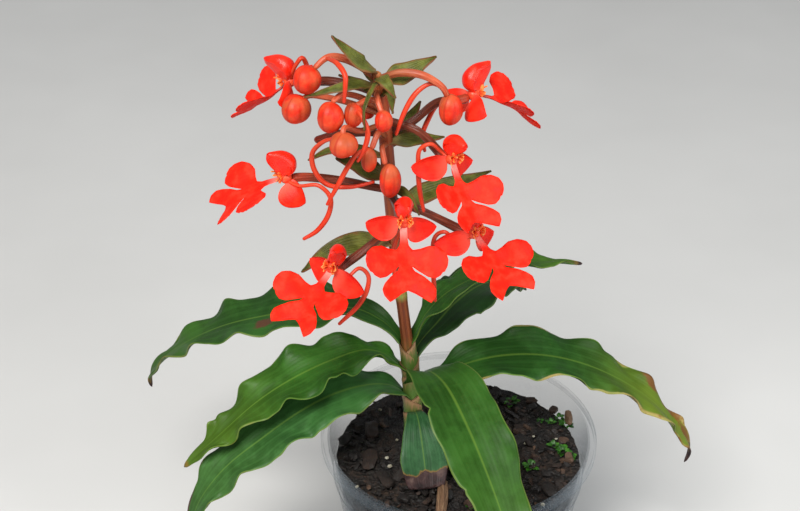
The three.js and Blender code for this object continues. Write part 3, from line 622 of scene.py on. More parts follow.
sheath_skin = Finish("sheath_skin", Roughness=0.5)
sheath_lines = sheath_skin.speckle(sheath_skin.stretch(sheath_skin.place("UV"), (2, 40, 1)), 1.0, 4)
sheath_height = sheath_skin.plus(sheath_skin.axis(sheath_skin.place("UV"), 0), sheath_lines)
sheath_skin.put("Base Color", sheath_skin.blend(
    sheath_skin.fit(sheath_height, 0.95, 1.5), "4c6a26", "a87f5c",
))
sheath_skin.relief(sheath_lines, 0.15)
add_piece("leaf_sheaths", sheath_shape, [sheath_skin], "stem")

husk_shape = bmesh.new()
husk_route = Route([
    (-5.5, -17, 77.2), (-6.2, -21, 79.4), (-6.6, -28, 79.6), (-7.6, -36, 78.6), (-9, -42, 77.4),
])
grow_tube(
    husk_shape, husk_route, lambda share: 1.2 + 0.8 * math.sin(math.pi * share), 30, 20,
    lambda share, turn: 1 + 0.12 * math.sin(5 * turn + 4 * share),
)
husk = Finish("dry_husk", Roughness=0.75)
husk_lines = husk.speckle(husk.stretch(husk.place("UV"), (5, 26, 1)), 1.0, 5, 0.65)
husk.put("Base Color", husk.ramp(husk_lines, (0.3, "33231a"), (0.5, "6b4e36"), (0.7, "94775a")))
husk.relief(husk_lines, 0.4)
add_piece("dry_husk", husk_shape, [husk], "stalk")

# Eight long green blades that grow from the foot of the stem, clasp it, and arch outwards over the rim.
# Each is one living sheet: channelled along its midrib, waved at its edges, and dry and brown at its tip.
leaf_thickness = 0.8
leaf_root_share = 0.26
leaf_root_clasp = 0.12
leaf_taper = 2.1
leaf_round_from = 0.985
leaf_curl_from = 0.93
ripple_skew = 1.9
nick_width = 0.008
leaves = [
    dict(azimuth=156, half_width=11.5, peak=0.36, tip=0.05, bank=-16, fold=12, waves=6, wave_height=1.8,
         green="224c12", curl=4, flush=0.1, rim=0.3, tip_dry=0.03,
         scars=[(0.43, 0.72, 0.03, 0.14, "5c3226")],
         spine=[(1.6, 127), (4.8, 130.5), (9.6, 133.7), (19, 136), (34, 132), (56, 123), (80, 110),
                (102, 92), (117, 73)]),
    dict(azimuth=199, half_width=11.8, peak=0.42, tip=0.05, bank=-10, fold=10, waves=5.6, wave_height=2.2,
         green="27540d", curl=0, flush=0.35, rim=0.35, tip_dry=0.012, taper=1.45,
         spine=[(1.6, 114.5), (5, 118.6), (9.5, 123.5), (17, 126.8), (30, 125), (45, 120), (58, 113),
                (72, 102), (86, 91)]),
    dict(azimuth=204, half_width=12.5, peak=0.34, tip=0.2, bank=-12, fold=8, waves=5.6, wave_height=1.8,
         green="2e5a26", curl=0, flush=0.1, rim=0.35, tip_dry=0.02,
         scars=[(0.96, 0.02, 0.07, 0.12, "4a2a2a")],
         spine=[(1.6, 101), (5, 105.5), (10, 109.5), (18, 112), (31, 112), (45, 108), (59, 101),
                (74, 92), (84, 81), (89, 70)]),
    dict(azimuth=294.5, half_width=13.4, peak=0.36, tip=0.05, bank=-4, fold=12, waves=4, wave_height=1.2,
         green="214909", curl=0, flush=0.12, rim=0.2, tip_dry=0.02,
         nicks=[(0.36, -1, 0.1), (0.6, -1, 0.07), (0.84, 1, 0.12)],
         scars=[(0.84, 1.0, 0.014, 0.05, "6a4420")],
         spine=[(1.6, 108.5), (5, 113), (10, 119), (18, 124.5), (30, 126.5), (46, 121), (62, 111.5),
                (77, 99.5), (89, 86), (97, 72)]),
    dict(azimuth=4, half_width=11.5, peak=0.3, tip=0.05, bank=14, fold=8, waves=5.6, wave_height=2.0,
         green="1f4a0f", curl=5, flush=1.0, rim=1.0, tip_dry=0.06,
         scars=[(0.73, 0.95, 0.04, 0.16, "6e3f20"), (0.82, 0.86, 0.05, 0.22, "74451f"),
                (0.9, 0.72, 0.035, 0.2, "6a3a20")],
         spine=[(1.6, 100), (5, 104.5), (9.5, 109.5), (17, 114), (31, 118), (48, 117.8), (66, 112),
                (86, 99), (101, 83), (112, 65)]),
    dict(azimuth=52, half_width=11, peak=0.42, tip=0.05, bank=10, fold=10, waves=5, wave_height=1.2,
         green="1a3c10", curl=0, flush=0.1, rim=0.15, tip_dry=0.03,
         spine=[(1.6, 117.5), (5, 120.6), (10, 123.2), (17, 125), (28, 128), (44, 128), (62, 121),
                (78, 109)]),
    dict(azimuth=25, half_width=8, peak=0.36, tip=0.05, bank=-8, fold=12, waves=4, wave_height=1.6,
         green="285412", curl=0, flush=0.2, rim=0.25, tip_dry=0.04,
         spine=[(1.4, 125), (4.6, 130), (9, 137), (16, 143), (28, 147), (42, 149), (58, 146), (74, 141)]),
    dict(azimuth=281, half_width=8.6, peak=0.7, tip=0.75, bank=0, fold=4, waves=2, wave_height=0.5,
         green="264e2a", curl=0, flush=0.0, rim=0.1, tip_dry=0.17,
         spine=[(1.6, 94.5), (5, 97.4), (8.5, 98.8), (14, 97), (20, 91), (25, 85), (29, 80.5)]),
]


def unit(value):
    """The value, held between 0 and 1."""
    return min(max(value, 0.0), 1.0)


def soft_fold(v):
    """A fold along the middle of a blade: nothing at the midrib, round there, and near 1 at the edges."""
    return math.sqrt(v * v + 0.0025) - 0.05


def blade_half_width(u, half_width, peak, tip, root_share, taper):
    """Half the width of a blade at u: it swells up to peak and narrows to the share tip at its end."""
    rise, fall = unit(u / peak), unit((u - peak) / (1 - peak))
    swell = root_share + (1 - root_share) * (1 - math.cos(rise * math.pi)) / 2
    return half_width * swell * (1 - (1 - tip) * fall ** taper)


def leaf_maker(leaf):
    """Gives the function that lays one leaf along its spine: folded, banked, rippled and nicked."""
    bearing = math.radians(leaf["azimuth"])
    outward = Vector((math.cos(bearing), math.sin(bearing), 0))
    side = Vector((-math.sin(bearing), math.cos(bearing), 0))
    heart = stem_at(leaf["spine"][0][1])
    heart.z = 0
    spine = Route([heart + outward * reach + Vector((0, 0, height)) for reach, height in leaf["spine"]])
    fold = math.tan(math.radians(leaf["fold"]))

    @functools.cache
    def rib(u):
        middle, heading = spine.at(u)
        normal = heading.cross(side).normalized()
        lean = math.radians(leaf["bank"]) * unit(u / 0.25)
        across = side * math.cos(lean) + normal * math.sin(lean)
        up = normal * math.cos(lean) - side * math.sin(lean)
        taper = leaf.get("taper", leaf_taper)
        width = blade_half_width(
            u, leaf["half_width"], leaf["peak"], leaf["tip"], leaf_root_share, taper,
        )
        if u > leaf_round_from:
            width *= math.sqrt(max(0.02, 1 - ((u - leaf_round_from) / 0.0152) ** 2))
        return middle, across, up, width

    def place(u, v):
        middle, across, up, width = rib(u)
        channel = soft_fold(v) * fold
        clasp = v * v * leaf_root_clasp * unit(1 - u / 0.17)
        share = v * v * unit(u / 0.2) * unit((1 - u) / 0.17)
        ripple = math.sin(math.tau * leaf["waves"] * u + ripple_skew * v) * leaf["wave_height"]
        sway = noise.noise(Vector((9 * u, 2 * v, leaf["azimuth"])))
        frill_turn = math.tau * 1.6 * leaf["waves"] * u + 4 * sway - 2.2 * v
        frill = 0.5 * leaf["wave_height"] * math.sin(frill_turn)
        ribs = 0.05 * math.cos(math.pi * 6 * v) * (1 - v * v)
        rise = width * (channel + clasp) + (ripple + frill * v * v * (0.5 + abs(sway))) * share
        scallop = 0.12 * noise.noise(Vector((leaf["waves"] * 2.4 * u, v, leaf["azimuth"])))
        nick = sum(
            depth * math.exp(-((u - at) / nick_width) ** 2)
            for at, edge, depth in leaf.get("nicks", ()) if edge * v > 0
        )
        reach = v * width * (1 + (scallop - nick) * v * v)
        hook = unit((u - leaf_curl_from) / 0.07) ** 2 * leaf["curl"]
        spot = middle + across * reach + up * (rise + ribs * unit(width / 4))
        return spot - outward * hook - Vector((0, 0, hook / 3))

    return place


def lighten(colour, factor, lift=0.0):
    """The same colour, lighter or darker by a factor and raised by lift."""
    return (*(min(1.0, part * factor + lift) for part in colour[:3]), 1.0)


def leaf_skin(name, leaf):
    """Leaf green with a paler midrib, faint veins, a worn rim, a yellowing outer half and a dry tip."""
    skin = Finish(name, Specular_IOR_Level=0.22)
    chart = skin.place("UV")
    along, across = skin.axis(chart, 0), skin.axis(chart, 1)
    off_middle = skin.size(skin.less(across, 0.5))
    to_edge = skin.less(0.5, off_middle)
    clouds = skin.speckle(skin.place(), 38, 4, 0.55)
    mottle = skin.speckle(skin.place(), 210, 5, 0.6)
    fine = skin.speckle(skin.place(), 1300, 3, 0.6)
    wander = skin.times(skin.less(mottle, 0.5), 0.012)
    vein_wave = skin.sine(skin.times(skin.plus(across, wander), 17 * math.tau))
    main_wave = skin.cosine(skin.times(across, 6 * math.tau))
    base = ink(leaf["green"])
    deep, pale, light = lighten(base, 0.72), lighten(base, 1.28, 0.004), lighten(base, 2.1, 0.02)
    flesh = skin.blend(skin.fit(skin.plus(clouds, skin.times(mottle, 0.5)), 0.6, 0.92), deep, pale)
    flesh = skin.blend(skin.times(skin.fit(main_wave, 0.3, 1.0), 0.13), flesh, light)
    flesh = skin.blend(skin.times(skin.fit(vein_wave, 0.5, 1.0), 0.07), flesh, light)
    outer = skin.fit(along, 0.42, 0.92, 0.0, leaf["flush"])
    outer = skin.times(outer, skin.fit(clouds, 0.3, 0.62, 0.5, 0.9))
    flesh = skin.blend(outer, flesh, "6f7f1c")
    rib_width = skin.fit(along, 0.0, 1.0, 0.036, 0.016)
    rib_share = skin.fit(skin.part(off_middle, rib_width), 1.0, 0.1)
    flesh = skin.blend(skin.times(rib_share, 0.34), flesh, "6e8c30")
    patchy = skin.times(skin.fit(clouds, 0.42, 0.6), leaf["rim"])
    rim_width = skin.plus(skin.times(patchy, skin.fit(along, 0.3, 0.9, 0.02, 0.1)), 0.012)
    at_rim = skin.fit(skin.part(to_edge, rim_width), 1.2, 0.5)
    rim_tone = skin.blend(skin.fit(clouds, 0.4, 0.6, 0.0, leaf["rim"]), "6f8a3c", "b0965c")
    flesh = skin.blend(skin.times(at_rim, 0.25 + 0.5 * leaf["rim"]), flesh, rim_tone)
    burnt = skin.times(skin.fit(mottle, 0.45, 0.62), skin.fit(along, 0.55, 0.8, 0.0, leaf["rim"]))
    flesh = skin.blend(skin.times(skin.times(at_rim, burnt), 0.9), flesh, "7a4a22")
    for start, side, length, width, tone in leaf.get("scars", ()):
        down = skin.part(skin.less(along, start), length)
        over = skin.part(skin.less(across, side), width)
        away = skin.plus(skin.times(down, down), skin.times(over, over))
        away = skin.plus(away, skin.times(skin.less(mottle, 0.5), 4.0))
        flesh = skin.blend(skin.fit(away, 1.3, 0.4, 0.0, 0.85), flesh, tone)
    unrest = skin.less(skin.plus(mottle, clouds), 1.0)
    ragged = skin.times(unrest, 0.8 * leaf["tip_dry"] + 0.02)
    bay = skin.times(skin.cosine(skin.times(across, 2 * math.tau)), 0.12 * leaf["tip_dry"])
    worn = skin.plus(skin.plus(along, ragged), bay)
    start = 1.0 - leaf["tip_dry"]
    flesh = skin.blend(skin.fit(worn, start - 0.02, start, 0.0, 0.6), flesh, "85582a")
    skin.put("Base Color", skin.blend(skin.fit(worn, start + 0.002, start + 0.014), flesh, skin.ramp(
        mottle, (0.35, "1d1213"), (0.55, "3a2726"), (0.7, "5c4842"),
    )))
    skin.put("Roughness", skin.fit(mottle, 0.3, 0.75, 0.42, 0.58))
    skin.relief(skin.plus(skin.times(vein_wave, 0.12), skin.times(fine, 0.5)), 0.08)
    return skin


for number, leaf in enumerate(leaves, 1):
    blade = bmesh.new()
    steps = 60 if number == 8 else 150
    points = lay_sheet(blade, steps, 28, leaf_maker(leaf))
    thicken(blade, points, leaf_thickness)
    skin = leaf_skin(f"leaf_skin_{number}", leaf)
    add_piece(f"leaf_{number}_blade", blade, [skin], "leaf", f"leaf_{number}")

# Fifteen small pointed leaves round the head, most of them below a flower or bud. Each is a folded green
# sheet that grows from the stem, with brown edges and a thin drawn-out tip.
bract_thickness = 0.7
bract_face = Vector((0, -0.55, 0.83))
bract_fold = 0.35
bracts = [
    (3.0, [(-29.9, 0, 237.8), (-34.5, -6, 243.4), (-39, -7, 248.5), (-44, -6, 253.5)]),
    (4.2, [(-28.8, 1, 233.2), (-19.5, 5, 235), (-10, 6, 240.5)]),
    (2.3, [(-29.6, 0, 232.8), (-35, -5, 235.5), (-40.5, -11, 237.6), (-53, -12, 234.5)]),
    (2.5, [(-29.4, 0, 235.8), (-26.5, -7, 237), (-23.5, -9, 232.6)]),
    (1.8, [(-29.2, 1, 231.9), (-34.6, 8.4, 236), (-39, 10, 238.7)]),
    (1.8, [(-29.2, 0, 229.6), (-36.5, 3.4, 232.5), (-42.5, 5, 234.3)]),
    (0.9, [(-28.8, -0.5, 233.6), (-30.5, -9, 237), (-33.5, -17, 233), (-33.5, -19, 226)]),
    (4.0, [(-26.8, 1, 208.5), (-20, 11, 212), (-15, 14, 220)]),
    (1.8, [(-28.8, 0, 229), (-25.5, -4, 232), (-24.5, -6, 225.5)]),
    (3.0, [(-26.5, 0, 211.5), (-18.5, 1, 212), (-12, 3, 211.5), (-7, 5, 211)]),
    (2.5, [(-26.5, 1, 205.5), (-39, 0, 208.5), (-45.5, -3, 210), (-53, -5, 207.5)]),
    (4.0, [(-26, 1, 197), (-35, 3, 200), (-44, 2, 204.5)]),
    (4.5, [(-25, 1, 171), (-35.5, -1, 172), (-46.5, -4, 170.5), (-56.5, -6, 163.5)]),
    (1.8, [(-25.5, 0, 195.5), (-19, -6, 193.5), (-15.5, -10, 189)]),
    (4.0, [(-25, 1, 183), (-13.5, 11, 185), (-1, 18, 186), (10.5, 24, 187)]),
]


def bract_maker(half_width, places):
    """Gives the function that lays one of them along its places, with its face to the front and up."""
    spine = Route(places)

    @functools.cache
    def rib(u):
        middle, heading = spine.at(u)
        side = bract_face.cross(heading).normalized()
        width = blade_half_width(u, half_width, 0.34, 0.06, 0.3, 1.4)
        return middle, side, heading.cross(side).normalized(), width

    def place(u, v):
        middle, side, up, width = rib(u)
        wave = 0.18 * math.sin(math.tau * 3 * u + 1.4 * v) * v * v * unit(u / 0.2)
        return middle + side * v * width + up * (bract_fold * soft_fold(v) * width + wave)

    return place


bract_skin = Finish("bract_skin", Specular_IOR_Level=0.3)
bract_chart = bract_skin.place("UV")
bract_along, bract_across = bract_skin.axis(bract_chart, 0), bract_skin.axis(bract_chart, 1)
bract_off = bract_skin.size(bract_skin.less(bract_across, 0.5))
bract_mottle = bract_skin.speckle(bract_skin.place(), 230, 5, 0.6)
bract_veins = bract_skin.sine(bract_skin.times(bract_across, 9 * math.tau))
bract_green = bract_skin.blend(bract_skin.fit(bract_mottle, 0.35, 0.65), "474c16", "666c28")
bract_green = bract_skin.blend(
    bract_skin.times(bract_skin.fit(bract_veins, 0.5, 1.0), 0.16), bract_green, "8c8a44",
)
bract_green = bract_skin.blend(bract_skin.fit(bract_along, 0.0, 0.3, 0.6, 0.0), bract_green, "b08a5c")
bract_wear = bract_skin.times(bract_skin.less(bract_mottle, 0.5), 0.55)
bract_edge = bract_skin.plus(bract_off, bract_wear)
bract_red = bract_skin.plus(bract_edge, bract_skin.fit(bract_along, 0.6, 1.0, 0.0, 0.14))
bract_skin.put("Base Color", bract_skin.blend(
    bract_skin.fit(bract_red, 0.36, 0.56, 0.0, 0.85), bract_green, "743a20",
))
bract_skin.put("Roughness", bract_skin.fit(bract_mottle, 0.3, 0.7, 0.35, 0.55))
bract_skin.relief(bract_veins, 0.06)
for number, (half_width, places) in enumerate(bracts, 1):
    bract = bmesh.new()
    thicken(bract, lay_sheet(bract, 40, 14, bract_maker(half_width, places)), bract_thickness)
    add_piece(f"bract_{number:02d}_blade", bract, [bract_skin], "bract", f"bract_{number:02d}")

# Seven flowers stand out from the stem on twisted brownish-red stalks. In each a hood, two side sepals, a
# forked lip, the yellow-tipped column and a hanging spur grow together round the throat.
flowers = [
    dict(at=(-59, 9, 230), facing=-117, tilt=-15, roll=7, lip_start=30, lip_end=23, cup=(52, 20), fork=0.97,
         reach=0.91, twist=-5, veer=1.9, nod=(0, 2.0, 1.0), sepals=((12, 0, 0, 1), (12, 0, 0, 1)),
         stalk=[(-29, 2, 228.5), (-36, 7, 229), (-46, 9, 230)],
         spur=[(-57, 6, 236.5), (-54.5, 6, 240), (-53, 8, 236), (-53, 10, 229), (-53, 11, 223.5)]),
    dict(at=(2.5, 8, 225.5), facing=117, tilt=0, roll=8, lip_start=16, lip_end=59, cup=(28, 32), fork=0.85,
         reach=0.83, twist=-13, veer=1.5, nod=(0, 2.2, 2.0), sepals=((10, 8, 40, 1.05), (28, 0, 0, 1)),
         stalk=[(-26, 3, 214), (-18.5, 6, 216), (-9.5, 8, 222.5)],
         spur=[(-4.5, 11, 222), (-9, 12, 220), (-12.5, 11, 214.5), (-14.5, 9, 209), (-13.5, 8, 203.5)]),
    dict(at=(-60.5, -6, 201.5), facing=-72, tilt=1, roll=5, lip_start=5, lip_end=52, cup=(13, 19),
         fork=0.94, reach=0.9, twist=0, veer=1.5, nod=(0, 1.6, 2.2),
         sepals=((10, 0, 0, 1), (20, 17, -60, 1)),
         stalk=[(-26, 2, 192), (-42.5, -2, 198)],
         spur=[(-56, -9, 200), (-49.5, -10.5, 201), (-45.5, -12, 197.5), (-46, -13, 191.5),
               (-50, -14, 185.5), (-55, -15, 182.5)]),
    dict(at=(-5, -12, 212), facing=32, tilt=4, roll=8, lip_start=54, lip_end=29, cup=(27, 34), fork=0.94,
         reach=0.93, twist=-3, veer=-0.3, nod=(0, 2.8, -1.2), sepals=((30, 11, 0, 1.1), (18, 10, 0, 0.88)),
         stalk=[(-26.5, 1, 219.5), (-16, -4, 218)],
         spur=[(-8.5, -10, 213.5), (-12, -11, 217), (-15.5, -11, 215), (-16, -11, 208), (-15.5, -11, 199.5),
               (-14, -12, 191.5)]),
    dict(at=(-21, -25, 195.5), facing=11, tilt=9, roll=7, lip_start=59, lip_end=34, cup=(16, 17), fork=0.96,
         reach=0.99, twist=0, veer=-0.4, nod=(0, 0.6, -1.0), sepals=((10, 0, 0, 1), (10, 4, 0, 0.95)),
         stalk=[(-25, 1, 190), (-23, -11, 193)],
         spur=[(-22.5, -18, 186.5), (-24, -15, 180), (-24.5, -15, 173.5), (-23.5, -17, 169),
               (-22.5, -19, 166)]),
    dict(at=(3, -14, 184.5), facing=35, tilt=13, roll=3, lip_start=36, lip_end=38, cup=(13, 18), fork=0.9,
         reach=0.94, twist=-2, veer=0.3, nod=(0, 0, 0), sepals=((30, 4, 0, 1.14), (16, 8, 0, 0.78)),
         stalk=[(-24.5, 1, 188.5), (-14, -5, 187.5)],
         spur=[(-2.4, -13, 180.6), (-7, -11.5, 183.4), (-10, -10.5, 181), (-11, -12, 174.5),
               (-10.5, -15, 166), (-10, -18, 159)]),
    dict(at=(-45, -20, 174), facing=-28, tilt=18, roll=5, lip_start=37, lip_end=41, cup=(19, 16), fork=0.88,
         reach=0.95, twist=6, veer=0.6, nod=(-1.3, 0, -0.6), sepals=((24, 0, 0, 0.94), (8, 14, 0, 1.1)),
         stalk=[(-26, 1, 177.5), (-31.5, -8, 176.5)],
         spur=[(-40.5, -18.5, 169.4), (-36, -16, 171.6), (-33, -15, 168), (-33.5, -16, 162.5),
               (-36.5, -17, 157), (-43.5, -18, 149.5)]),
]
petal_thickness = 0.65
inner_petal_thickness = 0.45
crest_thickness = 0.25
throat_radius = 2.1
stalk_radius = 1.5
spur_radius = 0.75
sepal_length = 11.0
sepal_root = 1.3
sepal_rise = 1.5
sepal_drop = 5.9
sepal_hollow = 1.2
hood_route = Route([(0, -0.6, 1.1), (0, -3.2, 3.7), (0, -3.2, 7), (0, -0.2, 9.1), (0, 4.6, 8.4)])
hood_widths = [(0, 1.9), (0.15, 2.8), (0.4, 3.2), (0.6, 2.7), (0.8, 2.0), (0.93, 1.25), (1, 0.5)]
hood_depth = 2.4
hood_wrap = 77
petal_rim = [(1.3, 1.5, 1.6), (0.6, 3.3, 3.1), (-0.05, 4.9, 4.8), (-0.2, 5.6, 6.6), (-0.1, 4.8, 8.45)]
lip_length = 29.0
lip_half_outline = [
    (1.2, 0), (1.2, 3), (1.3, 5.8), (1.6, 7.9), (2.9, 9.4), (5.4, 9.2), (8.4, 8.4), (11.4, 9.1),
    (13.6, 11.2), (14.3, 13.8), (13.9, 16.0), (12.9, 17.9), (12.3, 18.0), (11.6, 19.1), (9.8, 20.0),
    (7.2, 19.2), (4.3, 17), (2.2, 15.0), (3.0, 16.9), (5.9, 19.1), (8.3, 21.6), (9.6, 24.2), (9.2, 26.8),
    (7.4, 28.9), (5.2, 27.2), (2.4, 24.9), (0, 23.7),
]


def flower_turn(flower):
    """The flower's own axes: X to the left of someone who faces it, Y out of it and Z up."""
    facing, tilt, roll = (math.radians(flower[key]) for key in ("facing", "tilt", "roll"))
    out = Vector((math.sin(facing), -math.cos(facing), math.tan(tilt))).normalized()
    level = Vector((math.cos(facing), math.sin(facing), 0))
    upright = -level.cross(out)
    right = level * math.cos(roll) - upright * math.sin(roll)
    up = upright * math.cos(roll) + level * math.sin(roll)
    return Matrix.Translation(flower["at"]) @ Matrix((-right, out, up)).transposed().to_4x4()


def cut_lip_pattern():
    """The lip, cut flat from its outline and divided finely, ready to be bent."""
    right = [Vector((across, along, 0)) for across, along in lip_half_outline]
    left = [Vector((-place.x, place.y, 0)) for place in reversed(right[:-1])]
    loop = right + left
    pattern = bmesh.new()
    rim = []
    for k, start in enumerate(loop):
        before, end, after = loop[k - 1], loop[(k + 1) % len(loop)], loop[(k + 2) % len(loop)]
        for t in (0.0, 0.25, 0.5, 0.75):
            bend = 0.1 * t * (1 - t)
            straight = start.lerp(end, t)
            pull = (end - before) * (1 - t) - (after - start) * t
            rim.append(pattern.verts.new(straight + bend * pull * 1.6))
    edges = [pattern.edges.new((a, b)) for a, b in zip(rim, rim[1:] + rim[:1])]
    bmesh.ops.triangle_fill(pattern, use_beauty=True, edges=edges)
    for gauge in (8, 4, 2, 1.3, 1.0):
        long_edges = [edge for edge in pattern.edges if edge.calc_length() > gauge and not edge.is_boundary]
        bmesh.ops.subdivide_edges(pattern, edges=long_edges, cuts=1)
        bmesh.ops.triangulate(pattern, faces=pattern.faces)
        for _ in range(3):
            bmesh.ops.beautify_fill(pattern, faces=pattern.faces, edges=pattern.edges, method="ANGLE")
            inner = [point for point in pattern.verts if not point.is_boundary]
            bmesh.ops.smooth_vert(
                pattern, verts=inner, factor=0.5, use_axis_x=True, use_axis_y=True, use_axis_z=True,
            )
    bmesh.ops.recalc_face_normals(pattern, faces=pattern.faces)
    if sum(face.normal.z for face in pattern.faces) < 0:
        bmesh.ops.reverse_faces(pattern, faces=pattern.faces)
    chart = pattern.loops.layers.uv.verify()
    for face in pattern.faces:
        for corner in face.loops:
            corner[chart].uv = (corner.vert.co.x / 30 + 0.5, corner.vert.co.y / 30)
    mesh = bpy.data.meshes.new("lip_pattern")
    pattern.to_mesh(mesh)
    pattern.free()
    return mesh


def lip_place(flower, across, along):
    """Where a spot of the flat pattern lies once the lip is folded along its middle and bent forward."""
    across *= 1 + (flower["fork"] - 1) * unit((along - 17) / 4)
    along = min(along, 15) + max(along - 15, 0) * flower["reach"]
    start = math.radians(flower["lip_start"])
    bend = (math.radians(flower["lip_end"]) - start) / lip_length
    angle = start + bend * along
    slope = math.tan(math.radians(flower["cup"][0 if across > 0 else 1]))
    shorten = 1 / math.hypot(1, slope)
    claw = 1 - unit((along - 5) / 5)
    channel = 0.35 * (min(across * across, 1.8) / 1.8 - 0.6)
    wave = 0.3 * math.sin(0.42 * along + 0.25 * across) + 0.1 * math.sin(0.9 * across)
    lift = (slope * across * across / (abs(across) + 4) + claw * channel + wave * (1 - claw)) * shorten
    twist = math.radians(flower["twist"]) * unit((along - 3) / 7)
    sideways = across * shorten * math.cos(twist) - lift * math.sin(twist)
    lift = lift * math.cos(twist) + across * shorten * math.sin(twist)
    return Vector((
        sideways + flower["veer"] * (along / lip_length) ** 2,
        (math.sin(angle) - math.sin(start)) / bend + lift * math.sin(angle),
        (math.cos(angle) - math.cos(start)) / bend + lift * math.cos(angle),
    ))


def add_lip(shape, flower, pattern, layer):
    """Adds a flower's lip, bent from the flat pattern."""
    shape.faces.ensure_lookup_table()
    old = len(shape.verts), len(shape.faces)
    shape.from_mesh(pattern)
    points, faces = list(shape.verts)[old[0]:], list(shape.faces)[old[1]:]
    for face in faces:
        face.material_index = layer
    for point in points:
        point.co = lip_place(flower, point.co.x, point.co.y)
    thicken(shape, points, petal_thickness)


def sepal_maker(flower, hand):
    """A side sepal, swept back, drooped, twisted and sized as each flower's own."""
    *angles, length = flower["sepals"][0 if hand > 0 else 1]
    sweep, droop, twist = (math.radians(angle) for angle in angles)
    front = Vector((hand * math.sin(sweep), math.cos(sweep), 0))
    level = Vector((hand * math.cos(sweep), -math.sin(sweep), 0))
    arm = level * math.cos(droop) - Vector((0, 0, math.sin(droop)))
    upright = level * math.sin(droop) + Vector((0, 0, math.cos(droop)))
    edge_way = upright * math.cos(twist) + front * math.sin(twist)
    face_way = front * math.cos(twist) - upright * math.sin(twist)

    def place(u, v):
        v = v * hand
        swell = math.sin(math.pi * u ** 0.82) ** (0.75 if v > 0 else 0.56)
        edge = 0.12 + 1.03 * (1 - u)
        height = v * (edge + (sepal_rise if v > 0 else sepal_drop) * swell) - 0.6 * u
        hollow = sepal_hollow * math.sin(math.pi * u) * (1 - v * v) + 0.1 * math.sin(5 * u + 2 * v)
        curl = 1.1 * unit((u - 0.55) / 0.45) ** 2
        root = Vector((0, -0.4, -0.5))
        reach = sepal_root + sepal_length * length * u
        return root + arm * reach + edge_way * height + face_way * (curl - hollow)

    return place


def hood_maker(flower):
    """The helmet-shaped hood. nod moves its tip sideways, forward and up."""
    nod = Vector(flower["nod"])

    def place(u, v):
        middle, heading = hood_route.at(u)
        inward = Vector((1, 0, 0)).cross(heading).normalized()
        turn = math.radians(hood_wrap) * v
        depth = (1 + hood_depth * math.sin(math.pi * u)) * (1 - math.cos(turn))
        sideways = Vector((between(hood_widths, u) * math.sin(turn), 0, 0))
        return middle + nod * u * u - inward * depth + sideways

    return place


def inner_petal_maker(flower, hand):
    """One of the two petals that close the hood's front, from under the hood's edge to a free edge."""
    rim = Route([(hand * x, y, z) for x, y, z in petal_rim])
    hood = hood_maker(flower)
    nod = Vector(flower["nod"])

    def place(u, v):
        share = (v * hand + 1) / 2
        start = hood(0.06 + 0.9 * u, hand * 0.8)
        bulge = 0.55 * math.sin(math.pi * share) * math.sin(math.pi * (0.1 + 0.8 * u))
        tuck = -0.35 * (1 - share) * (1 - u)
        spot = start.lerp(rim.spot(u) + nod * u * u, math.sin(share * math.pi / 2) ** 1.1)
        return spot + Vector((hand * (bulge + tuck), 0.06 * math.sin(9 * u) * share, 0))

    return place


def crest_place(u, v):
    """The ruffled crest that stands round the column."""
    turn = 2.5 * v
    ruffle = math.sin(11 * turn) * u
    reach = 1.5 + 1.1 * u + 0.22 * ruffle
    out = 1.6 + 1.3 * u + 0.4 * math.cos(7 * turn) * u
    return Vector((reach * math.sin(turn), out, 1.0 + reach * math.cos(turn)))


def add_ball(shape, layer, centre, size, lean=0.0, splay=0.0):
    """A smooth lobe in the throat or the column."""
    chart = shape.loops.layers.uv.verify()
    turned = Matrix.Rotation(lean, 4, "X") @ Matrix.Rotation(splay, 4, "Y")
    place = Matrix.Translation(centre) @ turned @ Matrix.Diagonal((*size, 1))
    points = bmesh.ops.create_uvsphere(shape, u_segments=16, v_segments=10, radius=1.0)["verts"]
    for face in {face for point in points for face in point.link_faces}:
        face.material_index = layer
        for corner in face.loops:
            corner[chart].uv = (corner.vert.co.x / 2 + 0.5, corner.vert.co.z / 2 + 0.5)
    bmesh.ops.transform(shape, verts=points, matrix=place)


def arm_width(share):
    """Half the width of one of the column's arms."""
    return 0.3 * (1 - 0.3 * share + 0.3 * share ** 6)


def spur_width(share):
    return spur_radius * (0.75 + 0.45 * math.sin(math.pi * share ** 1.8))


def stalk_width(share):
    return stalk_radius * (0.85 + 0.2 * share)


def stalk_ridge(share, turn):
    """Six ridges that wind a little round the stalk."""
    return 1 + 0.09 * math.sin(6 * turn + 7 * share)


def petal_skin(name, blush, blush_from, blush_to, veins, gloss, roughest):
    """Vermilion with fine veins. blush shows from blush_from to blush_to along the part."""
    skin = Finish(name, Specular_IOR_Level=gloss)
    chart = skin.place("UV")
    along = skin.axis(chart, 1 if name == "lip_skin" else 0)
    across = skin.axis(chart, 0 if name == "lip_skin" else 1)
    mottle = skin.speckle(skin.place(), 260, 4, 0.55)
    sparkle = skin.cells(skin.place(), 3200)
    lines = skin.sine(skin.times(skin.plus(across, skin.times(mottle, 0.05)), veins * math.tau))
    red = skin.blend(skin.fit(mottle, 0.35, 0.65), "e61905", "f0280d")
    red = skin.blend(skin.times(skin.fit(lines, 0.6, 1.0), 0.07), red, "d01504")
    pink = skin.fit(along, blush_from, blush_to, 1.0, 0.0)
    pink = skin.plus(pink, skin.times(skin.less(mottle, 0.5), 0.25), True)
    skin.put("Base Color", skin.blend(skin.times(pink, 0.9), red, blush))
    skin.put("Roughness", skin.fit(mottle, 0.35, 0.65, roughest - 0.14, roughest))
    skin.relief(skin.plus(skin.times(lines, 0.12), skin.plus(mottle, sparkle)), 0.05)
    return skin


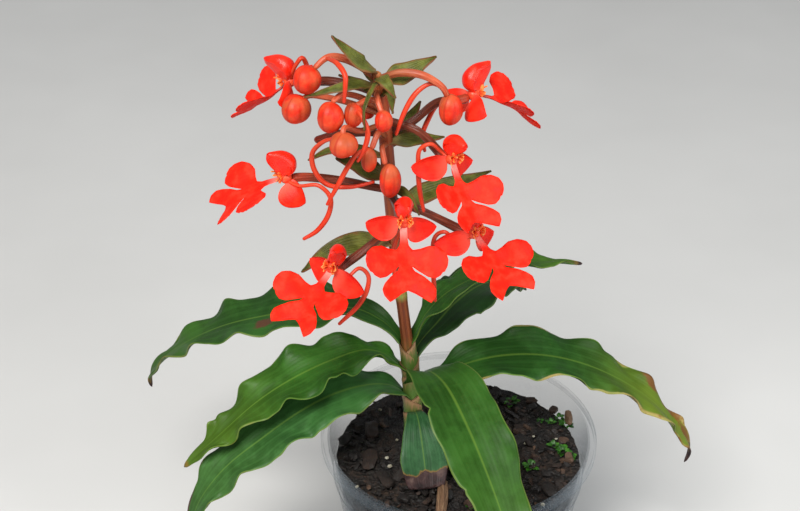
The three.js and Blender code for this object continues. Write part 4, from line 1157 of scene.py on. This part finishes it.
lip_skin = petal_skin("lip_skin", "f3968c", 0.04, 0.26, 22, 0.18, 0.7)
sepal_skin = petal_skin("sepal_skin", "f65a48", -0.1, 0.45, 9, 0.25, 0.6)
hood_skin = petal_skin("hood_skin", "ef4630", -0.1, 0.2, 8, 0.4, 0.42)
column_skin = Finish("column_skin", Roughness=0.4)
column_tone = column_skin.speckle(column_skin.place(), 900, 4, 0.6)
column_reach = column_skin.plus(
    column_skin.times(column_skin.axis(column_skin.place("UV"), 0), 0.5),
    column_skin.times(column_tone, 0.5),
)
column_skin.put("Base Color", column_skin.ramp(
    column_reach, (0.25, "cf2a0a"), (0.42, "e64a16"), (0.62, "ef6c26"), (0.8, "f39a4a"),
))
column_skin.relief(column_tone, 0.25)
throat_skin = Finish("throat_skin", Roughness=0.45)
throat_tone = throat_skin.speckle(throat_skin.place(), 500, 4, 0.6)
throat_skin.put("Base Color", throat_skin.ramp(throat_tone, (0.35, "d02a10"), (0.65, "f05a34")))
throat_skin.relief(throat_tone, 0.1)
spur_skin = Finish("spur_skin", Specular_IOR_Level=0.3)
spur_tone = spur_skin.speckle(spur_skin.stretch(spur_skin.place("UV"), (6, 14, 1)), 1.0, 4)
spur_skin.put("Base Color", spur_skin.blend(
    spur_skin.fit(spur_skin.axis(spur_skin.place("UV"), 0), 0.0, 1.0),
    spur_skin.ramp(spur_tone, (0.35, "bc3419"), (0.65, "d64b2b")),
    spur_skin.ramp(spur_tone, (0.35, "b8260f"), (0.65, "d03618")),
))
spur_skin.put("Roughness", spur_skin.fit(spur_tone, 0.3, 0.7, 0.3, 0.45))
spur_skin.relief(spur_tone, 0.08)
stalk_skin = Finish("stalk_skin", Specular_IOR_Level=0.35)
stalk_lines = stalk_skin.speckle(stalk_skin.stretch(stalk_skin.place("UV"), (4, 24, 1)), 1.0, 5, 0.65)
stalk_skin.put("Base Color", stalk_skin.blend(
    stalk_skin.fit(stalk_skin.axis(stalk_skin.place("UV"), 0), 0.7, 1.0, 0.0, 0.8),
    stalk_skin.ramp(stalk_lines, (0.35, "3f170b"), (0.5, "622612"), (0.68, "80391e")),
    stalk_skin.ramp(stalk_lines, (0.35, "942c16"), (0.65, "b8452a")),
))
stalk_skin.put("Roughness", stalk_skin.fit(stalk_lines, 0.3, 0.7, 0.3, 0.5))
stalk_skin.relief(stalk_lines, 0.15)

lip_pattern = cut_lip_pattern()
for number, flower in enumerate(flowers, 1):
    turned = flower_turn(flower)
    homeward = turned.inverted()
    bloom = bmesh.new()
    add_lip(bloom, flower, lip_pattern, 0)
    for hand in (1, -1):
        thicken(bloom, lay_sheet(bloom, 36, 18, sepal_maker(flower, hand), 1), petal_thickness)
    thicken(bloom, lay_sheet(bloom, 36, 30, hood_maker(flower), 2), petal_thickness)
    for hand in (1, -1):
        inner_petal = lay_sheet(bloom, 26, 10, inner_petal_maker(flower, hand), 2)
        thicken(bloom, inner_petal, inner_petal_thickness)
    add_ball(bloom, 4, (0, 0, 0), (throat_radius, throat_radius, throat_radius))
    add_ball(bloom, 4, (0, 1.2, 1.6), (1.5, 1.3, 2.0))
    add_ball(bloom, 2, (0, 1.2, 3.8), (1.8, 1.7, 2.3), -0.4)
    thicken(bloom, lay_sheet(bloom, 6, 60, crest_place, 3), crest_thickness)
    for hand in (1, -1):
        add_ball(bloom, 3, (hand * 1.15, 2.5, 2.5), (0.6, 0.7, 1.3), -0.5, hand * 0.5)
        for reach, rise, splay in ((4.9, 2.4, 1.3), (3.9, 0.4, 1.8)):
            bend = (hand * 1.2, reach * 0.65, 0.8 + rise / 2)
            arm = Route([(hand * 0.9, 1.6, 1.1), bend, (hand * splay, reach, rise)])
            grow_tube(bloom, arm, arm_width, 14, 10, layer=3)
    spur_line = Route([(0, 0.4, -0.8)] + [homeward @ Vector(place) for place in flower["spur"]])
    grow_tube(bloom, spur_line, spur_width, 60, 16, layer=5)
    bmesh.ops.transform(bloom, verts=bloom.verts, matrix=turned)
    bloom_skins = [lip_skin, sepal_skin, hood_skin, column_skin, throat_skin, spur_skin]
    add_piece(f"flower_{number}_petals", bloom, bloom_skins, "petal", f"flower_{number}_bloom")
    stalk_end = [turned @ Vector(place) for place in ((0, -6, -0.8), (0, 0.4 - throat_radius, -0.6))]
    stalk = bmesh.new()
    grow_tube(stalk, Route(flower["stalk"] + stalk_end), stalk_width, 70, 30, stalk_ridge)
    add_piece(f"flower_{number}_pedicel", stalk, [stalk_skin], "stalk", f"flower_{number}_stalk")
bpy.data.meshes.remove(lip_pattern)

# Ten closed buds hang on thin arched stalks round the top of the stem. Three sepals meet in seams on each,
# their skin is orange red with green-grey patches, and some already have a curling spur.
buds = [
    dict(at=(-52.5, -4, 237), size=(9.4, 9.6), stalk_swell=0.5,
         stalk=[(-29.6, 0.6, 234.4), (-34.5, 1, 239), (-40, 0, 242.5), (-45.5, -2, 244), (-50, -4, 241)],
         spur=[(-46, -2.5, 244), (-42, -11, 246), (-39.5, -15.5, 244), (-39.5, -17, 240.5),
               (-40, -17, 235)]),
    dict(at=(-56.3, -5.6, 227.1), size=(9.9, 9.9),
         stalk=[(-28.5, 0.5, 222), (-38, -0.5, 226.5), (-47, -3, 230.2), (-52, -4.6, 231.4),
                (-55, -5.4, 229.6)]),
    dict(at=(-44.7, -14, 228.4), size=(8.8, 10.6),
         stalk=[(-29, 0, 224.5), (-35, -4, 230.5), (-41, -10, 234.5), (-44, -13.5, 233.5)]),
    dict(at=(-37.3, -12, 228.2), size=(6.3, 8.6),
         stalk=[(-29.3, -1, 227.5), (-33, -8, 231.5), (-36.5, -12, 231.5)],
         spur=[(-36.5, -12.5, 231), (-34, -16, 229), (-32.5, -17, 224.5), (-33.5, -17, 219),
               (-36, -17, 213.5)]),
    dict(at=(-40.5, -19, 221), size=(9.4, 8.4),
         stalk=[(-28, -1, 219), (-34.8, -8.5, 220.6), (-40.2, -17.2, 226), (-40.6, -18.8, 224)],
         spur=[(-42.5, -18, 223), (-47, -14, 219.5), (-51, -11, 213.5), (-50.5, -10, 206.5),
               (-46.5, -9, 200.5), (-39, -9, 199.5), (-30.5, -8, 201)]),
    dict(at=(-27.5, -13, 226.5), size=(6, 7.6),
         stalk=[(-29.4, -1, 231), (-29.5, -9, 232.5), (-28, -13, 229.5)]),
    dict(at=(-32.5, -10, 210.5), size=(5.4, 8.8),
         stalk=[(-27.2, -0.5, 214.2), (-29.2, -6, 218.6), (-31.5, -10, 214.5)],
         spur=[(-31.8, -10, 214), (-35.5, -12, 214.5), (-39, -14, 210.5), (-42.5, -15, 204),
               (-46.5, -16, 196.5)]),
    dict(at=(-25.5, -10, 202.5), size=(7.4, 12.4),
         stalk=[(-26.6, 0, 211), (-28, -5.5, 212.5), (-27, -9, 208)]),
    dict(at=(-5.5, -3, 225.5), size=(8.2, 11), stalk_swell=0.5,
         stalk=[(-29.4, 0.5, 235), (-22, -1, 238), (-14.5, -3, 238), (-8.5, -4, 234.5), (-6.5, -3, 230.5)],
         spur=[(-8.5, -3.5, 234), (-12, -2, 234.5), (-16.5, -3, 232), (-20.5, -5, 226),
               (-23.5, -8, 218.5)]),
    dict(at=(-33, 5, 221.5), size=(5.4, 7), stalk=[(-28.2, 2, 220.5), (-31, 5, 225.3), (-32.7, 5, 224.5)]),
]
bud_stalk_radius = 0.9
bud_spur_radius = 0.65


def bud_maker(bud):
    """Gives the function that lays one bud: a ball with three lobes, three seams and a small beak below."""
    width, height = bud["size"]

    def place(u, v):
        polar, turn = math.pi * u, -math.pi * v
        lobes = 1 + 0.05 * math.cos(3 * turn)
        seam = 0.05 * math.exp(-((abs(math.sin(1.5 * turn)) - 1) / 0.04) ** 2) * math.sin(polar)
        beak = 0.03 * math.exp(-((u - 0.97) / 0.05) ** 2)
        reach = math.sin(polar) * width / 2 * (lobes - seam)
        rise = math.cos(polar) * height / 2 * (1 + beak)
        return Vector(bud["at"]) + Vector((reach * math.cos(turn), reach * math.sin(turn), rise))

    return place


def bud_spur_width(share):
    return bud_spur_radius * (0.8 + 0.6 * math.sin(math.pi * share))


bud_skin = Finish("bud_skin", Specular_IOR_Level=0.28)
bud_chart = bud_skin.place("UV")
bud_down, bud_round = bud_skin.axis(bud_chart, 0), bud_skin.axis(bud_chart, 1)
bud_mottle = bud_skin.speckle(bud_skin.place(), 240, 4, 0.6)
bud_patch = bud_skin.speckle(bud_skin.place(), 110, 3, 0.5)
bud_fine = bud_skin.speckle(bud_skin.place(), 1500, 3, 0.6)
bud_wander = bud_skin.plus(bud_round, bud_skin.times(bud_mottle, 0.04))
bud_lines = bud_skin.sine(bud_skin.times(bud_wander, 15 * math.tau))
bud_red = bud_skin.ramp(bud_mottle, (0.35, "c41f0a"), (0.5, "da2c0f"), (0.66, "e64622"))
bud_red = bud_skin.blend(bud_skin.times(bud_skin.fit(bud_lines, 0.6, 1.0), 0.16), bud_red, "b8321a")
bud_green = bud_skin.times(bud_skin.fit(bud_patch, 0.4, 0.56), bud_skin.fit(bud_down, 0.9, 0.3))
bud_red = bud_skin.blend(bud_skin.times(bud_green, 0.6), bud_red, "9c5c34")
seam_wave = bud_skin.size(bud_skin.sine(bud_skin.times(bud_round, 3 * math.pi)))
bud_skin.put("Base Color", bud_skin.blend(
    bud_skin.fit(bud_skin.less(1.0, seam_wave), 0.0, 0.02, 0.7, 0.0), bud_red, "a82a14",
))
bud_skin.put("Roughness", bud_skin.fit(bud_mottle, 0.35, 0.65, 0.42, 0.58))
bud_skin.relief(bud_skin.plus(bud_skin.times(bud_lines, 0.12), bud_fine), 0.06)
bud_stalk_skin = Finish("bud_stalk_skin", Roughness=0.4, Specular_IOR_Level=0.35)
bud_stalk_chart = bud_stalk_skin.place("UV")
bud_stalk_tone = bud_stalk_skin.speckle(bud_stalk_skin.stretch(bud_stalk_chart, (5, 12, 1)), 1.0, 4)
bud_stalk_skin.put("Base Color", bud_stalk_skin.blend(
    bud_stalk_skin.fit(bud_stalk_skin.axis(bud_stalk_chart, 0), 0.1, 0.9),
    bud_stalk_skin.ramp(bud_stalk_tone, (0.35, "7c3a20"), (0.65, "9f5a36")),
    bud_stalk_skin.ramp(bud_stalk_tone, (0.35, "ac3c20"), (0.65, "cb6442")),
))
bud_stalk_skin.relief(bud_stalk_tone, 0.1)
for number, bud in enumerate(buds, 1):
    body = bmesh.new()
    close_up(body, lay_sheet(body, 32, 54, bud_maker(bud)))
    fat = bud.get("stalk_swell", 0.12)
    stalk_line = Route(bud["stalk"])
    grow_tube(
        body, stalk_line, lambda share: bud_stalk_radius * (1 + fat * math.sin(math.pi * share ** 0.8)),
        44, 24, lambda share, turn: 1 + 0.05 * math.sin(6 * turn + 5 * share), layer=1,
    )
    if "spur" in bud:
        grow_tube(body, Route(bud["spur"]), bud_spur_width, 50, 14, layer=2)
    bud_skins = [bud_skin, bud_stalk_skin, spur_skin]
    add_piece(f"bud_{number:02d}_skin", body, bud_skins, "bud", f"bud_{number:02d}")

# Behind the buds the ribbed ovary of a flower that has dropped still stands out from the stem. It is of the
# same reddish-brown flesh as the stalks, swollen in its outer half, and it grows from the stem as they do.
ovary_shape = bmesh.new()
grow_tube(
    ovary_shape, Route([(-27, 1, 214.5), (-39, 8, 211), (-51.5, 10, 207)]),
    lambda share: 1.1 + 0.5 * math.sin(math.pi * share ** 1.5), 60, 30,
    lambda share, turn: 1 + 0.1 * math.sin(6 * turn + 3 * share),
)
add_piece("spent_ovary_skin", ovary_shape, [stalk_skin], "stalk", "spent_ovary")

# A plain pale floor, a large soft lamp above the front and a weaker one beside it, with a faint even light
# from all round. The camera looks down on the plant at the photograph's angle.
floor_shape = bmesh.new()
bmesh.ops.create_grid(floor_shape, x_segments=1, y_segments=1, size=6.0)
floor_mesh = bpy.data.meshes.new("floor")
floor_shape.to_mesh(floor_mesh)
floor_shape.free()
floor_paint = Finish("floor_paint", Roughness=0.85)
floor_tone = floor_paint.speckle(floor_paint.place(), 6, 3)
floor_paint.put("Base Color", floor_paint.ramp(floor_tone, (0.3, "d3d3d1"), (0.7, "dadad8")))
floor_mesh.materials.append(floor_paint.material)
floor = add_object("floor", floor_mesh)


def add_lamp(name, place, target, size, power, tint):
    """A round soft lamp at a place, turned to its target."""
    data = bpy.data.lights.new(name, "AREA")
    data.shape = "DISK"
    data.size = size
    data.energy = power
    data.color = tint
    lamp = add_object(name, data)
    lamp.location = place
    lamp.rotation_euler = (Vector(target) - Vector(place)).to_track_quat("-Z", "Y").to_euler()


add_lamp("key_lamp", (-0.25, -0.55, 0.95), (-0.02, 0, 0.15), 0.45, 12.5, (1.0, 0.98, 0.95))
add_lamp("fill_lamp", (0.6, -0.5, 0.5), (0, 0, 0.15), 0.6, 4, (0.95, 0.98, 1.0))
world = bpy.data.worlds.new("studio_air")
world.use_nodes = True
sky = world.node_tree.nodes["Background"]
sky.inputs["Color"].default_value = (0.95, 0.97, 1.0, 1.0)
sky.inputs["Strength"].default_value = 0.33
bpy.context.scene.world = world
bpy.context.scene.view_settings.view_transform = "Standard"

camera_data = bpy.data.cameras.new("photo_camera")
camera_data.lens = 72
camera_data.sensor_width = 36
camera_data.clip_start = 0.01
camera = add_object("photo_camera", camera_data)
camera.location = (-0.02209, -0.47389, 0.46847)
camera.rotation_euler = (math.radians(57.5), 0, 0)
bpy.context.scene.camera = camera
